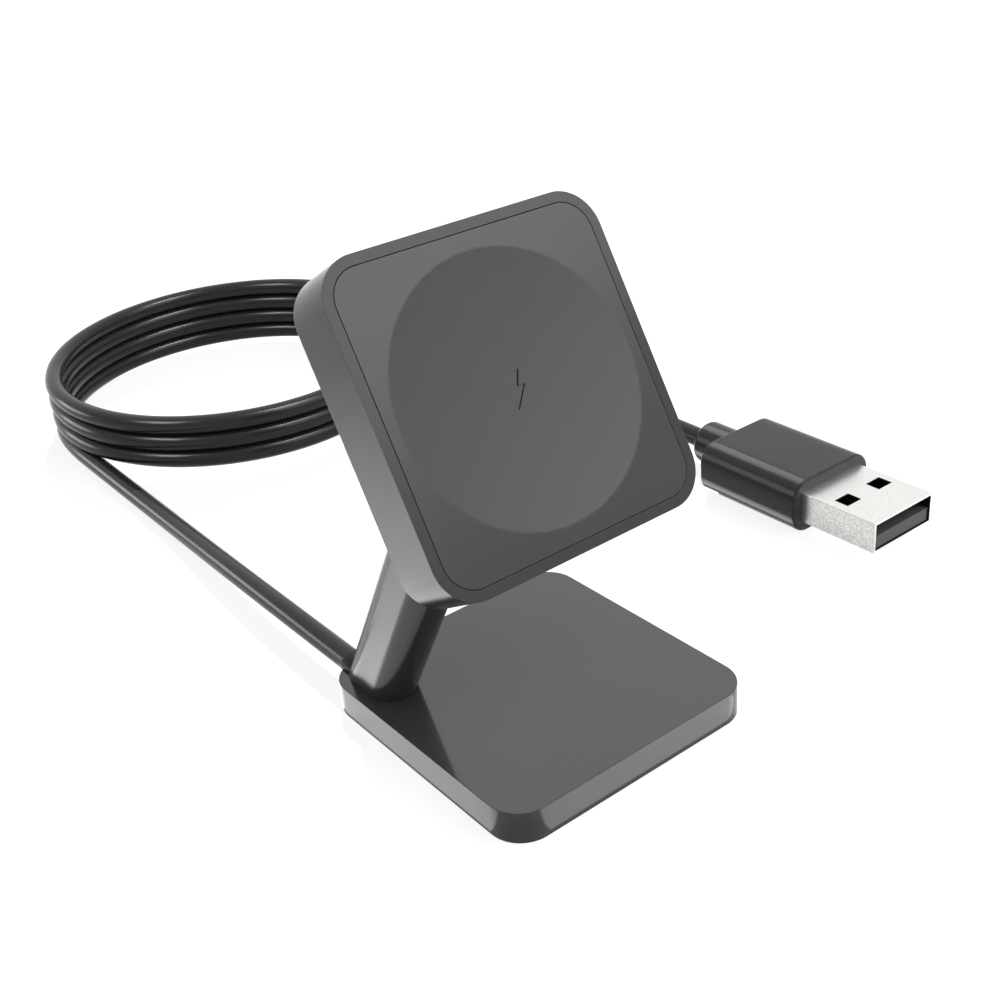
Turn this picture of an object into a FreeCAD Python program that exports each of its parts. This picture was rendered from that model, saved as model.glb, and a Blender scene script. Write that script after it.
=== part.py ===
"""Smartwatch charging dock: a weighted square base, a leaning neck, a tilted head with a
shallow round dish for the watch, and a coiled lead with a plug.

Frame: millimetres, +Z up, origin on the supporting surface under the middle of the base.
The dock's front is -Y, and +X is to the right of someone who looks at its front.
"""

import FreeCAD, Part
import math
import os
import Sketcher

Vector = FreeCAD.Vector
X_AXIS = Vector(1, 0, 0)
Z_AXIS = Vector(0, 0, 1)

document = FreeCAD.newDocument("ChargingDock")
sheet = document.addObject("Spreadsheet::Sheet", "Sizes")

# Driving dimensions, in millimetres and degrees
SIZES = {
    # base
    "base_width": 34.7,
    "base_depth": 35.6,
    "base_height": 4.0,
    "base_corner": 4.1,
    "cover_wall": 1.2,
    "cover_top": 1.0,
    "cover_edge": 0.25,
    "pad_proud": 0.25,
    "pad_thickness": 0.6,
    "pad_inset": 0.6,
    "plate_thickness": 0.8,
    "fit_gap": 0.1,
    "boss_diameter": 3.2,
    "boss_inset": 4.4,
    "screw_shank": 1.2,
    "screw_head": 2.4,
    "screw_head_height": 0.4,
    "weight_headroom": 0.2,
    "weight_gap": 0.4,
    # neck
    "neck_width": 6.1,
    "neck_length": 8.65,
    "neck_run": 26.91,
    "neck_from_side": 4.44,
    "neck_from_rear": 5.57,
    "neck_lean": 29.5,
    "neck_duct": 2.0,
    "duct_from_rear": 1.85,
    "spigot_width": 2.2,
    "foot_spigot_length": 5.2,
    "foot_spigot_forward": 2.4,
    "head_spigot_length": 4.0,
    "head_spigot_down": 0.4,
    "wire_hole": 2.6,
    "clamp_width": 3.2,
    "clamp_overhang": 0.6,
    "clamp_share": 0.5,
    "clamp_screw_shank": 0.9,
    "clamp_screw_head": 1.7,
    "clamp_screw_bite": 2.4,
    "clamp_screw_step": 2.2,
    # head
    "head_width": 35.0,
    "head_height": 36.2,
    "head_thickness": 7.5,
    "head_corner": 4.75,
    "head_back_edge": 0.3,
    "head_tilt": 30.4,
    "neck_from_head_side": 4.59,
    "neck_from_head_edge": 6.55,
    "rim": 1.2,
    "seam": 0.08,
    "ledge": 1.0,
    "back_wall": 1.2,
    "panel_thickness": 1.6,
    "tape_thickness": 0.15,
    "dish_margin": 1.3,
    "dish_depth": 0.8,
    # what charges
    "coil_margin": 4.0,
    "coil_inner": 10.4,
    "coil_share": 0.21,
    "ferrite_margin": 3.0,
    "ferrite_share": 0.13,
    "magnet_diameter": 8.0,
    "board_side_gap": 0.7,
    "board_neck_gap": 5.9,
    "board_end_gap": 2.9,
    "board_corner": 1.7,
    "board_place_share": 0.49,
    "board_share": 0.17,
    "board_post": 2.6,
    "board_screw_bite": 1.2,
    "chip_side": 4.0,
    "chip_share": 0.19,
    "capacitor_length": 1.6,
    "capacitor_width": 0.8,
    "wire_diameter": 0.6,
    # lead
    "cable_diameter": 2.9,
    "gland_diameter": 3.3,
    "gland_length": 2.8,
    "lead_from_side": 3.75,
    "lead_place_z": 4.0,
    "coil_from_side": 5.55,
    "coil_from_rear": 87.1,
    "coil_radius": 29.0,
    "coil_turns": 3.5,
    "coil_stub": 12.9,
    "coil_stub_start": 3.0,
    "lead_level_run": 22.0,
    "tail_level_run": 18.5,
    # plug
    "plug_place_x": 57.5,
    "plug_front": -7.7,
    "plug_width": 15.6,
    "plug_height": 8.0,
    "plug_corner": 3.4,
    "plug_length": 17.7,
    "plug_edge": 0.6,
    "boot_diameter": 6.4,
    "boot_length": 6.1,
    "shell_width": 12.0,
    "shell_height": 4.5,
    "shell_wall": 0.3,
    "shell_corner": 0.35,
    "shell_exposed": 12.2,
    "shell_buried": 6.5,
    "window_width": 2.8,
    "window_length": 2.25,
    "window_spacing": 6.5,
    "window_from_end": 6.7,
    "tongue_height": 1.85,
    "tongue_clear": 0.1,
    "contact_width": 1.0,
    "contact_thickness": 0.15,
    "contact_long": 7.4,
    "contact_short": 6.4,
}


class Size:
    """A length with its present value and the sheet expression that gives it."""

    def __init__(self, text, value):
        self.text = text
        self.value = value

    def combine(self, other, sign, swapped=False):
        """The sum, difference, product or quotient with another size or a number."""
        if not isinstance(other, Size):
            other = Size(repr(float(other)), float(other))
        first, second = (other, self) if swapped else (self, other)
        value = {
            "+": first.value + second.value,
            "-": first.value - second.value,
            "*": first.value * second.value,
            "/": first.value / (second.value or 1.0),
        }[sign]
        return Size(f"({first.text} {sign} {second.text})", value)

    def __add__(self, other):
        return self.combine(other, "+")

    def __radd__(self, other):
        return self.combine(other, "+", True)

    def __sub__(self, other):
        return self.combine(other, "-")

    def __rsub__(self, other):
        return self.combine(other, "-", True)

    def __mul__(self, other):
        return self.combine(other, "*")

    def __rmul__(self, other):
        return self.combine(other, "*", True)

    def __truediv__(self, other):
        return self.combine(other, "/")

    def __neg__(self):
        return self.combine(0.0, "-", True)


class Sheet:
    """Every driving dimension by its name."""


sizes = Sheet()
for row, (alias, number) in enumerate(SIZES.items(), start=1):
    sheet.set(f"A{row}", alias)
    sheet.set(f"B{row}", str(number))
    sheet.setAlias(f"B{row}", alias)
    setattr(sizes, alias, Size(f"Sizes.{alias}", float(number)))
document.recompute()

ZERO = Size("0.0", 0.0)


def smaller(one, other):
    """The smaller of two sizes."""
    return Size(f"min({one.text}; {other.text})", min(one.value, other.value))


# Heights, depths and places that several pieces share
cover_bottom = sizes.pad_proud
plate_bottom = sizes.pad_thickness
plate_top = plate_bottom + sizes.plate_thickness
cavity_top = sizes.base_height - sizes.cover_top
clamp_thickness = (cavity_top - plate_top) * sizes.clamp_share
clamp_head_height = clamp_thickness / 2
cable_radius = sizes.cable_diameter / 2
neck_x = sizes.neck_from_side - sizes.base_width / 2
neck_y = sizes.base_depth / 2 - sizes.neck_from_rear
lead_x = sizes.lead_from_side - sizes.base_width / 2
coil_left = sizes.coil_from_side - sizes.base_width / 2
panel_back = sizes.panel_thickness
ledge_depth = panel_back + sizes.tape_thickness
cavity_depth = sizes.head_thickness - sizes.back_wall
head_room = cavity_depth - panel_back
coil_thickness = head_room * sizes.coil_share
ferrite_depth = panel_back + coil_thickness
board_depth = panel_back + head_room * sizes.board_place_share
board_thickness = head_room * sizes.board_share
board_back = board_depth + board_thickness
plug_axis_z = sizes.plug_height / 2

# The neck leans forward from the base's top, and the head's back lies on its trimmed end
tilt = math.radians(sizes.head_tilt.value)
lean = math.radians(sizes.neck_lean.value)
face_normal = Vector(0, -math.cos(tilt), math.sin(tilt))
face_up = Vector(0, math.sin(tilt), math.cos(tilt))
neck_foot = Vector(neck_x.value, neck_y.value, sizes.base_height.value)
neck_axis = Vector(0, -math.sin(lean), math.cos(lean))
neck_top = neck_foot + neck_axis * sizes.neck_run.value
neck_in_head_x = sizes.neck_from_head_side - sizes.head_width / 2
neck_in_head_y = sizes.neck_from_head_edge - sizes.head_height / 2
face_centre = (
    neck_top
    - X_AXIS * neck_in_head_x.value
    - face_up * neck_in_head_y.value
    + face_normal * sizes.head_thickness.value
)
NECK_PLACEMENT = FreeCAD.Placement(neck_foot, FreeCAD.Rotation(X_AXIS, sizes.neck_lean.value))
HEAD_PLACEMENT = FreeCAD.Placement(
    face_centre, FreeCAD.Rotation(X_AXIS, 90.0 - sizes.head_tilt.value)
)
# Planes in the neck's own frame: level at its foot, and along the head's back at its top
LEVEL_PLANE = FreeCAD.Placement(
    Vector(0, 0, 0), FreeCAD.Rotation(X_AXIS, -sizes.neck_lean.value)
)
BACK_PLANE = FreeCAD.Placement(
    Vector(0, 0, sizes.neck_run.value),
    FreeCAD.Rotation(X_AXIS, 90.0 - sizes.head_tilt.value - sizes.neck_lean.value),
)


def new_body(label):
    """An empty body whose label names the piece."""
    body = document.addObject("PartDesign::Body", label)
    body.Label = label
    return body


def new_sketch(body, name, plane="XY_Plane", offset=None, height=None):
    """A sketch on one of the body's own planes, moved along the plane's normal or placed."""
    sketch = body.newObject("Sketcher::SketchObject", f"{body.Name}_{name}")
    origin = [item for item in body.Origin.OriginFeatures if item.Role == plane][0]
    sketch.AttachmentSupport = [(origin, "")]
    sketch.MapMode = "FlatFace"
    if offset is not None:
        sketch.AttachmentOffset = offset
    if height is not None:
        sketch.AttachmentOffset = FreeCAD.Placement(
            Vector(0, 0, height.value), FreeCAD.Rotation()
        )
        sketch.setExpression("AttachmentOffset.Base.z", height.text)
    return sketch


def bind(sketch, index, name, size):
    """Name a dimension of a sketch and tie it to the sheet."""
    sketch.renameConstraint(index, name)
    sketch.setExpression(f"Constraints.{name}", size.text)


def add_circle(sketch, diameter, x=ZERO, y=ZERO):
    """A circle by its diameter and centre."""
    number = sketch.GeometryCount
    centre = Vector(x.value, y.value, 0)
    sketch.addGeometry(Part.Circle(centre, Z_AXIS, diameter.value / 2), False)
    bind(
        sketch,
        sketch.addConstraint(Sketcher.Constraint("Diameter", number, diameter.value)),
        f"diameter{number}",
        diameter,
    )
    place_point(sketch, number, 3, x, y, f"centre{number}")


def place_point(sketch, number, point, x, y, name):
    """Hold one point of the sketch at x, y from its origin."""
    for kind, size, letter in (("DistanceX", x, "x"), ("DistanceY", y, "y")):
        index = sketch.addConstraint(Sketcher.Constraint(kind, -1, 1, number, point, size.value))
        bind(sketch, index, f"{name}{letter}", size)


def add_rounded_rectangle(sketch, width, height, radius, x=ZERO, y=ZERO):
    """A rectangle with four round corners, by its size and centre."""
    first = sketch.GeometryCount
    w, h, r = width.value / 2, height.value / 2, radius.value
    cx, cy = x.value, y.value
    corners = ((w, h, 0), (-w, h, 90), (-w, -h, 180), (w, -h, 270))
    for px, py, start in corners:
        centre = Vector(cx + math.copysign(w - r, px), cy + math.copysign(h - r, py), 0)
        sketch.addGeometry(
            Part.ArcOfCircle(
                Part.Circle(centre, Z_AXIS, r), math.radians(start), math.radians(start + 90)
            ),
            False,
        )
    ends = (
        ((w - r, h), (-(w - r), h)),
        ((-w, h - r), (-w, -(h - r))),
        ((-(w - r), -h), (w - r, -h)),
        ((w, -(h - r)), (w, h - r)),
    )
    for (ax, ay), (bx, by) in ends:
        sketch.addGeometry(
            Part.LineSegment(Vector(cx + ax, cy + ay, 0), Vector(cx + bx, cy + by, 0)), False
        )
    for side in range(4):
        arc, line, next_arc = first + side, first + 4 + side, first + (side + 1) % 4
        sketch.addConstraint(Sketcher.Constraint("Tangent", arc, 2, line, 1))
        sketch.addConstraint(Sketcher.Constraint("Tangent", line, 2, next_arc, 1))
        kind = "Horizontal" if side % 2 == 0 else "Vertical"
        sketch.addConstraint(Sketcher.Constraint(kind, line))
        if side:
            sketch.addConstraint(Sketcher.Constraint("Equal", first, first + side))
    index = sketch.addConstraint(Sketcher.Constraint("Radius", first, r))
    bind(sketch, index, f"radius{first}", radius)
    for corner, sx, sy in ((0, 0.5, 0.5), (2, -0.5, -0.5)):
        place_point(
            sketch,
            first + corner,
            3,
            x + sx * width - math.copysign(1.0, sx) * radius,
            y + sy * height - math.copysign(1.0, sy) * radius,
            f"corner{first + corner}",
        )


def add_slot(sketch, width, length, x=ZERO, y=ZERO):
    """A slot along Y with round ends, by its outer size and centre."""
    first = sketch.GeometryCount
    r, half = width.value / 2, (length.value - width.value) / 2
    cx, cy = x.value, y.value
    top, bottom = Vector(cx, cy + half, 0), Vector(cx, cy - half, 0)
    sketch.addGeometry(Part.ArcOfCircle(Part.Circle(top, Z_AXIS, r), 0, math.pi), False)
    sketch.addGeometry(
        Part.LineSegment(Vector(cx - r, cy + half, 0), Vector(cx - r, cy - half, 0)), False
    )
    sketch.addGeometry(
        Part.ArcOfCircle(Part.Circle(bottom, Z_AXIS, r), math.pi, 2 * math.pi), False
    )
    sketch.addGeometry(
        Part.LineSegment(Vector(cx + r, cy - half, 0), Vector(cx + r, cy + half, 0)), False
    )
    for one, other in ((0, 1), (1, 2), (2, 3), (3, 0)):
        sketch.addConstraint(
            Sketcher.Constraint("Tangent", first + one, 2, first + other, 1)
        )
    sketch.addConstraint(Sketcher.Constraint("Vertical", first + 1))
    index = sketch.addConstraint(Sketcher.Constraint("Radius", first, r))
    bind(sketch, index, f"radius{first}", width / 2)
    place_point(sketch, first, 3, x, y + (length - width) / 2, f"top{first}")
    place_point(sketch, first + 2, 3, x, y - (length - width) / 2, f"bottom{first}")


def add_rectangle(sketch, width, height, x=ZERO, y=ZERO):
    """A plain rectangle by its size and centre."""
    first = sketch.GeometryCount
    w, h, cx, cy = width.value / 2, height.value / 2, x.value, y.value
    points = [Vector(cx - w, cy - h, 0), Vector(cx + w, cy - h, 0)]
    points += [Vector(cx + w, cy + h, 0), Vector(cx - w, cy + h, 0)]
    for side in range(4):
        sketch.addGeometry(Part.LineSegment(points[side], points[(side + 1) % 4]), False)
    for side in range(4):
        sketch.addConstraint(
            Sketcher.Constraint("Coincident", first + side, 2, first + (side + 1) % 4, 1)
        )
        kind = "Horizontal" if side % 2 == 0 else "Vertical"
        sketch.addConstraint(Sketcher.Constraint(kind, first + side))
    place_point(sketch, first, 1, x - width / 2, y - height / 2, f"low{first}")
    place_point(sketch, first + 2, 1, x + width / 2, y + height / 2, f"high{first}")


def pad(body, sketch, length, reverse=False):
    """Material added from a sketch."""
    feature = body.newObject("PartDesign::Pad", f"{sketch.Name}_pad")
    feature.Profile = sketch
    feature.Length = length.value
    feature.setExpression("Length", length.text)
    feature.Reversed = reverse
    document.recompute()
    return feature


def pocket(body, sketch, length=None, reverse=False, both=False):
    """Material taken away from a sketch, to a depth or through everything."""
    before = body.Shape.Volume
    feature = body.newObject("PartDesign::Pocket", f"{sketch.Name}_pocket")
    feature.Profile = sketch
    if length is None:
        feature.Type = "ThroughAll"
    else:
        feature.Length = length.value
        feature.setExpression("Length", length.text)
    feature.Reversed = reverse
    feature.Midplane = both
    document.recompute()
    if body.Shape.Volume >= before - 1e-6:
        raise RuntimeError(f"{feature.Name} cut nothing")
    return feature


def fillet(body, feature, radius, chosen):
    """Round the edges of a feature that the test picks."""
    edges = []
    for index, edge in enumerate(feature.Shape.Edges, start=1):
        if chosen(edge):
            edges.append(f"Edge{index}")
    rounded = body.newObject("PartDesign::Fillet", f"{feature.Name}_round")
    rounded.Base = (feature, edges)
    rounded.Radius = radius.value
    rounded.setExpression("Radius", radius.text)
    document.recompute()
    return rounded


def lies_at(height):
    """A test for edges that lie flat at a height of the feature's own frame."""
    return lambda edge: all(abs(vertex.Z - height) < 1e-4 for vertex in edge.Vertexes)


def add_piece(label, shape, placement=None):
    """A piece whose shape is worked out here."""
    piece = document.addObject("Part::Feature", label)
    piece.Label = label
    piece.Shape = shape
    if placement is not None:
        piece.Placement = placement
    return piece


def screw(shank, length, head, head_height, driver=0.45):
    """A flat-headed screw on Z: the head hangs below zero, with a cross recess."""
    solid = Part.makeCylinder(shank / 2, length)
    solid = solid.fuse(Part.makeCylinder(head / 2, head_height, Vector(0, 0, -head_height)))
    depth = head_height * driver
    width = head * 0.18
    for turn in (0, 90):
        slot = Part.makeBox(head * 0.6, width, depth)
        slot.translate(Vector(-head * 0.3, -width / 2, -head_height))
        slot.rotate(Vector(0, 0, 0), Z_AXIS, turn)
        solid = solid.cut(slot)
    return solid.removeSplitter()


# Base: a moulded cover over a steel weight, closed by a plate under a soft pad


def corner_places(width, depth, inset):
    """The four places inset from the corners of a rectangle."""
    x, y = width / 2 - inset, depth / 2 - inset
    return ((x, y), (-x, y), (-x, -y), (x, -y))


# The rear left boss stands to the right of the neck
boss_places = list(corner_places(sizes.base_width, sizes.base_depth, sizes.boss_inset))
boss_places[1] = (
    neck_x + sizes.neck_width / 2 + sizes.boss_diameter,
    boss_places[1][1],
)
foot_y = neck_y - sizes.foot_spigot_forward
gland_start = sizes.base_depth / 2 - sizes.gland_length
foot_clamp_length = sizes.foot_spigot_length + 2 * sizes.clamp_overhang


def make_base_cover():
    """The moulded cover: top, side walls, four screw bosses and the neck's slot."""
    body = new_body("base_cover")
    outline = new_sketch(body, "outline", height=cover_bottom)
    add_rounded_rectangle(outline, sizes.base_width, sizes.base_depth, sizes.base_corner)
    block = pad(body, outline, sizes.base_height - cover_bottom)
    fillet(body, block, sizes.cover_edge, lies_at(sizes.base_height.value))
    inside = new_sketch(body, "inside", height=cover_bottom)
    add_rounded_rectangle(
        inside,
        sizes.base_width - 2 * sizes.cover_wall,
        sizes.base_depth - 2 * sizes.cover_wall,
        sizes.base_corner - sizes.cover_wall,
    )
    pocket(body, inside, cavity_top - cover_bottom, reverse=True)
    bosses = new_sketch(body, "bosses", height=plate_top)
    for x, y in boss_places:
        add_circle(bosses, sizes.boss_diameter, x, y)
    pad(body, bosses, cavity_top - plate_top)
    pilots = new_sketch(body, "pilots", height=plate_top)
    for x, y in boss_places:
        add_circle(pilots, sizes.screw_shank, x, y)
    pocket(body, pilots, cavity_top - plate_top, reverse=True)
    slot = new_sketch(body, "slot", height=sizes.base_height)
    add_slot(
        slot,
        sizes.spigot_width + 2 * sizes.fit_gap,
        sizes.foot_spigot_length + 2 * sizes.fit_gap,
        neck_x,
        foot_y,
    )
    pocket(body, slot, sizes.cover_top)
    channel = new_sketch(body, "channel", plane="XZ_Plane", height=-sizes.base_depth / 2)
    add_circle(channel, sizes.gland_diameter, lead_x, sizes.lead_place_z)
    pocket(body, channel, sizes.gland_length, reverse=True)
    return body


def make_base_plate():
    """The flat bottom plate with counterbored screw holes."""
    body = new_body("base_plate")
    inset = 2 * (sizes.cover_wall + sizes.fit_gap)
    outline = new_sketch(body, "outline", height=plate_bottom)
    add_rounded_rectangle(
        outline,
        sizes.base_width - inset,
        sizes.base_depth - inset,
        sizes.base_corner - sizes.cover_wall - sizes.fit_gap,
    )
    pad(body, outline, sizes.plate_thickness)
    holes = new_sketch(body, "holes", height=plate_bottom)
    heads = new_sketch(body, "heads", height=plate_bottom)
    for x, y in boss_places:
        add_circle(holes, sizes.screw_shank + 2 * sizes.fit_gap, x, y)
        add_circle(heads, sizes.screw_head + 2 * sizes.fit_gap, x, y)
    pocket(body, holes, sizes.plate_thickness, reverse=True)
    pocket(body, heads, sizes.screw_head_height, reverse=True)
    return body


def make_foot_pad():
    """The soft pad that the dock stands on."""
    body = new_body("foot_pad")
    inset = 2 * (sizes.cover_wall + sizes.pad_inset)
    outline = new_sketch(body, "outline")
    add_rounded_rectangle(
        outline,
        sizes.base_width - inset,
        sizes.base_depth - inset,
        sizes.base_corner - sizes.cover_wall - sizes.pad_inset,
    )
    pad(body, outline, sizes.pad_thickness)
    return body


def make_base_weight():
    """The steel weight, cut round the bosses and the neck's clamp."""
    body = new_body("base_weight")
    inset = 2 * (sizes.cover_wall + sizes.weight_gap)
    outline = new_sketch(body, "outline", height=plate_top)
    add_rounded_rectangle(
        outline,
        sizes.base_width - inset,
        sizes.base_depth - inset,
        sizes.base_corner - sizes.cover_wall - sizes.weight_gap,
    )
    thickness = cavity_top - sizes.weight_headroom - plate_top
    pad(body, outline, thickness)
    holes = new_sketch(body, "holes", height=plate_top)
    for x, y in boss_places:
        add_circle(holes, sizes.boss_diameter + 2 * sizes.weight_gap, x, y)
    pocket(body, holes, thickness, reverse=True)
    # The gap round the clamp runs back to the rear edge, under the lead's channel
    window = new_sketch(body, "window", height=plate_top)
    front = foot_y - foot_clamp_length / 2 - sizes.weight_gap
    depth = sizes.base_depth / 2 - front
    add_rectangle(
        window,
        sizes.clamp_width + 2 * sizes.weight_gap,
        depth,
        neck_x,
        front + depth / 2,
    )
    pocket(body, window, thickness, reverse=True)
    return body


def make_base_screws():
    """Four screws from below, through the plate into the bosses."""
    seat = plate_bottom.value + sizes.screw_head_height.value
    shape = screw(
        sizes.screw_shank.value,
        (cavity_top - sizes.fit_gap).value - seat,
        sizes.screw_head.value,
        sizes.screw_head_height.value,
    )
    group = []
    for x, y in boss_places:
        copy = shape.copy()
        copy.translate(Vector(x.value, y.value, seat))
        group.append(copy)
    return add_piece("base_screws", Part.makeCompound(group))


# Neck: a hollow leaning column, clamped to the base's top and to the head's back


def side_lines(sketch, points):
    """Straight lines from point to point in a side view."""
    for start, end in zip(points, points[1:]):
        sketch.addGeometry(Part.LineSegment(Vector(*start, 0), Vector(*end, 0)), False)


def side_outline(sketch, points):
    """A closed outline of straight lines in a side view."""
    side_lines(sketch, points + points[:1])


duct_place = sizes.neck_length / 2 - sizes.duct_from_rear
head_spigot_y = -sizes.head_spigot_down
foot_screw_places = (
    -sizes.foot_spigot_forward - sizes.clamp_screw_step / 2,
    -sizes.foot_spigot_forward + sizes.clamp_screw_step / 2,
)
head_screw_places = (
    head_spigot_y - sizes.head_spigot_length / 2 + sizes.clamp_screw_step / 2,
    head_spigot_y - sizes.head_spigot_length / 2 + sizes.clamp_screw_step * 1.5,
)
wire_hole_place = duct_place / math.sin(tilt + lean) + sizes.back_wall / 2 / math.tan(tilt + lean)


def make_neck():
    """The column, trimmed flat at both ends, with a spigot at each end and a wire duct."""
    body = new_body("neck")
    length = sizes.neck_length
    overrun = length.value
    section = new_sketch(
        body,
        "section",
        offset=FreeCAD.Placement(Vector(0, 0, -overrun), FreeCAD.Rotation()),
    )
    add_slot(section, sizes.neck_width, length)
    pad(body, section, sizes.neck_run + 2 * length)
    # Foot: level with the base's top; head: parallel to the head's back
    reach = length.value
    drop = math.tan(lean) * reach
    rise = reach / math.tan(tilt + lean)
    foot_cut = new_sketch(body, "foot_cut", plane="YZ_Plane")
    side_outline(
        foot_cut,
        [(-reach, drop), (reach, -drop), (reach, -3 * overrun), (-reach, -3 * overrun)],
    )
    pocket(body, foot_cut, both=True)
    head_cut = new_sketch(body, "head_cut", plane="YZ_Plane")
    top = sizes.neck_run.value
    high = top + 3 * overrun
    side_outline(
        head_cut,
        [(-reach, top - rise), (-reach, high), (reach, high), (reach, top + rise)],
    )
    pocket(body, head_cut, both=True)
    foot_spigot = new_sketch(body, "foot_spigot", offset=LEVEL_PLANE)
    add_slot(
        foot_spigot,
        sizes.spigot_width,
        sizes.foot_spigot_length,
        ZERO,
        -sizes.foot_spigot_forward,
    )
    pad(body, foot_spigot, sizes.cover_top, reverse=True)
    head_spigot = new_sketch(body, "head_spigot", offset=BACK_PLANE)
    add_slot(
        head_spigot, sizes.spigot_width, sizes.head_spigot_length, ZERO, head_spigot_y
    )
    pad(body, head_spigot, sizes.back_wall)
    duct = new_sketch(
        body,
        "duct",
        offset=FreeCAD.Placement(Vector(0, 0, -overrun), FreeCAD.Rotation()),
    )
    add_circle(duct, sizes.neck_duct, ZERO, duct_place)
    pocket(body, duct, reverse=True)
    bite = sizes.clamp_screw_bite
    foot_pilots = new_sketch(
        body,
        "foot_pilots",
        offset=LEVEL_PLANE.multiply(
            FreeCAD.Placement(Vector(0, 0, -sizes.cover_top.value), FreeCAD.Rotation())
        ),
    )
    for y in foot_screw_places:
        add_circle(foot_pilots, sizes.clamp_screw_shank, ZERO, y)
    pocket(body, foot_pilots, bite, reverse=True)
    head_pilots = new_sketch(
        body,
        "head_pilots",
        offset=BACK_PLANE.multiply(
            FreeCAD.Placement(Vector(0, 0, sizes.back_wall.value), FreeCAD.Rotation())
        ),
    )
    for y in head_screw_places:
        add_circle(head_pilots, sizes.clamp_screw_shank, ZERO, y)
    pocket(body, head_pilots, bite)
    # The lead's gland enters the foot from behind
    entry = new_sketch(
        body,
        "entry",
        plane="XZ_Plane",
        offset=FreeCAD.Placement(
            Vector(0, 0, 0), FreeCAD.Rotation(X_AXIS, -sizes.neck_lean.value)
        ),
    )
    across = sizes.lead_from_side - sizes.neck_from_side
    above = sizes.lead_place_z - sizes.base_height
    add_circle(entry, sizes.gland_diameter, across, above)
    entry_depth = gland_start.value - neck_y.value
    entry.AttachmentOffset = FreeCAD.Placement(
        Vector(0, 0, 0), FreeCAD.Rotation(X_AXIS, -sizes.neck_lean.value)
    ).multiply(FreeCAD.Placement(Vector(0, 0, -entry_depth), FreeCAD.Rotation()))
    pocket(body, entry, sizes.base_depth / 2)
    body.Placement = NECK_PLACEMENT
    return body


def make_clamp(label, length, centre, screw_places):
    """A steel strip that holds a spigot from the far side of the wall."""
    body = new_body(label)
    outline = new_sketch(body, "outline")
    add_slot(outline, sizes.clamp_width, length, ZERO, centre)
    pad(body, outline, clamp_thickness)
    holes = new_sketch(body, "holes")
    for y in screw_places:
        add_circle(holes, sizes.clamp_screw_shank + sizes.fit_gap, ZERO, y)
    pocket(body, holes, clamp_thickness, reverse=True)
    return body


def make_clamp_screws(label, screw_places):
    """Two small screws, heads below zero, that go up into the spigot."""
    shape = screw(
        sizes.clamp_screw_shank.value,
        (clamp_thickness + sizes.clamp_screw_bite).value,
        sizes.clamp_screw_head.value,
        clamp_head_height.value,
    )
    group = []
    for y in screw_places:
        copy = shape.copy()
        copy.translate(Vector(0, y.value, 0))
        group.append(copy)
    return add_piece(label, Part.makeCompound(group))


def make_neck_clamps():
    """The two clamp strips and their screws, at the foot and in the head."""
    foot_low = Vector(neck_foot.x, neck_foot.y, (cavity_top - clamp_thickness).value)
    foot_clamp = make_clamp(
        "neck_foot_clamp",
        foot_clamp_length,
        -sizes.foot_spigot_forward,
        foot_screw_places,
    )
    foot_clamp.Placement = FreeCAD.Placement(foot_low, FreeCAD.Rotation())
    foot_screws = make_clamp_screws("neck_foot_screws", foot_screw_places)
    foot_screws.Placement = FreeCAD.Placement(foot_low, FreeCAD.Rotation())
    # In the head the strip lies on the inner side of the back wall, its screws point back
    turned = FreeCAD.Rotation(X_AXIS, 180.0)
    seat = (cavity_depth - clamp_thickness).value
    in_head = FreeCAD.Placement(
        Vector(neck_in_head_x.value, neck_in_head_y.value, -seat), turned
    )
    mirrored = [-place for place in head_screw_places]
    head_clamp = make_clamp(
        "neck_head_clamp",
        sizes.head_spigot_length + 2 * sizes.clamp_overhang,
        -head_spigot_y,
        mirrored,
    )
    head_clamp.Placement = HEAD_PLACEMENT.multiply(in_head)
    head_screws = make_clamp_screws("neck_head_screws", mirrored)
    head_screws.Placement = HEAD_PLACEMENT.multiply(in_head)
    return [foot_clamp, foot_screws, head_clamp, head_screws]


# Head: a moulded tray whose rim frames the dished face panel, with the charger inside.
# Its pieces are drawn with the face at zero height, looking out along +Z, and then tilted.

opening_width = sizes.head_width - 2 * sizes.rim
opening_height = sizes.head_height - 2 * sizes.rim
opening_corner = sizes.head_corner - sizes.rim
cavity_width = opening_width - 2 * sizes.ledge
cavity_height = opening_height - 2 * sizes.ledge
cavity_corner = opening_corner - sizes.ledge
dish_diameter = smaller(opening_width, opening_height) - 2 * sizes.dish_margin
board_width = cavity_width - sizes.board_side_gap - sizes.board_neck_gap
board_height = cavity_height - 2 * sizes.board_end_gap
board_x = (sizes.board_neck_gap - sizes.board_side_gap) / 2
# Three corners carry the board, and the fourth is left free for the wires
post_places = [
    (board_x + x, y)
    for x, y in corner_places(board_width, board_height, sizes.board_corner)
]
del post_places[2]


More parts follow.
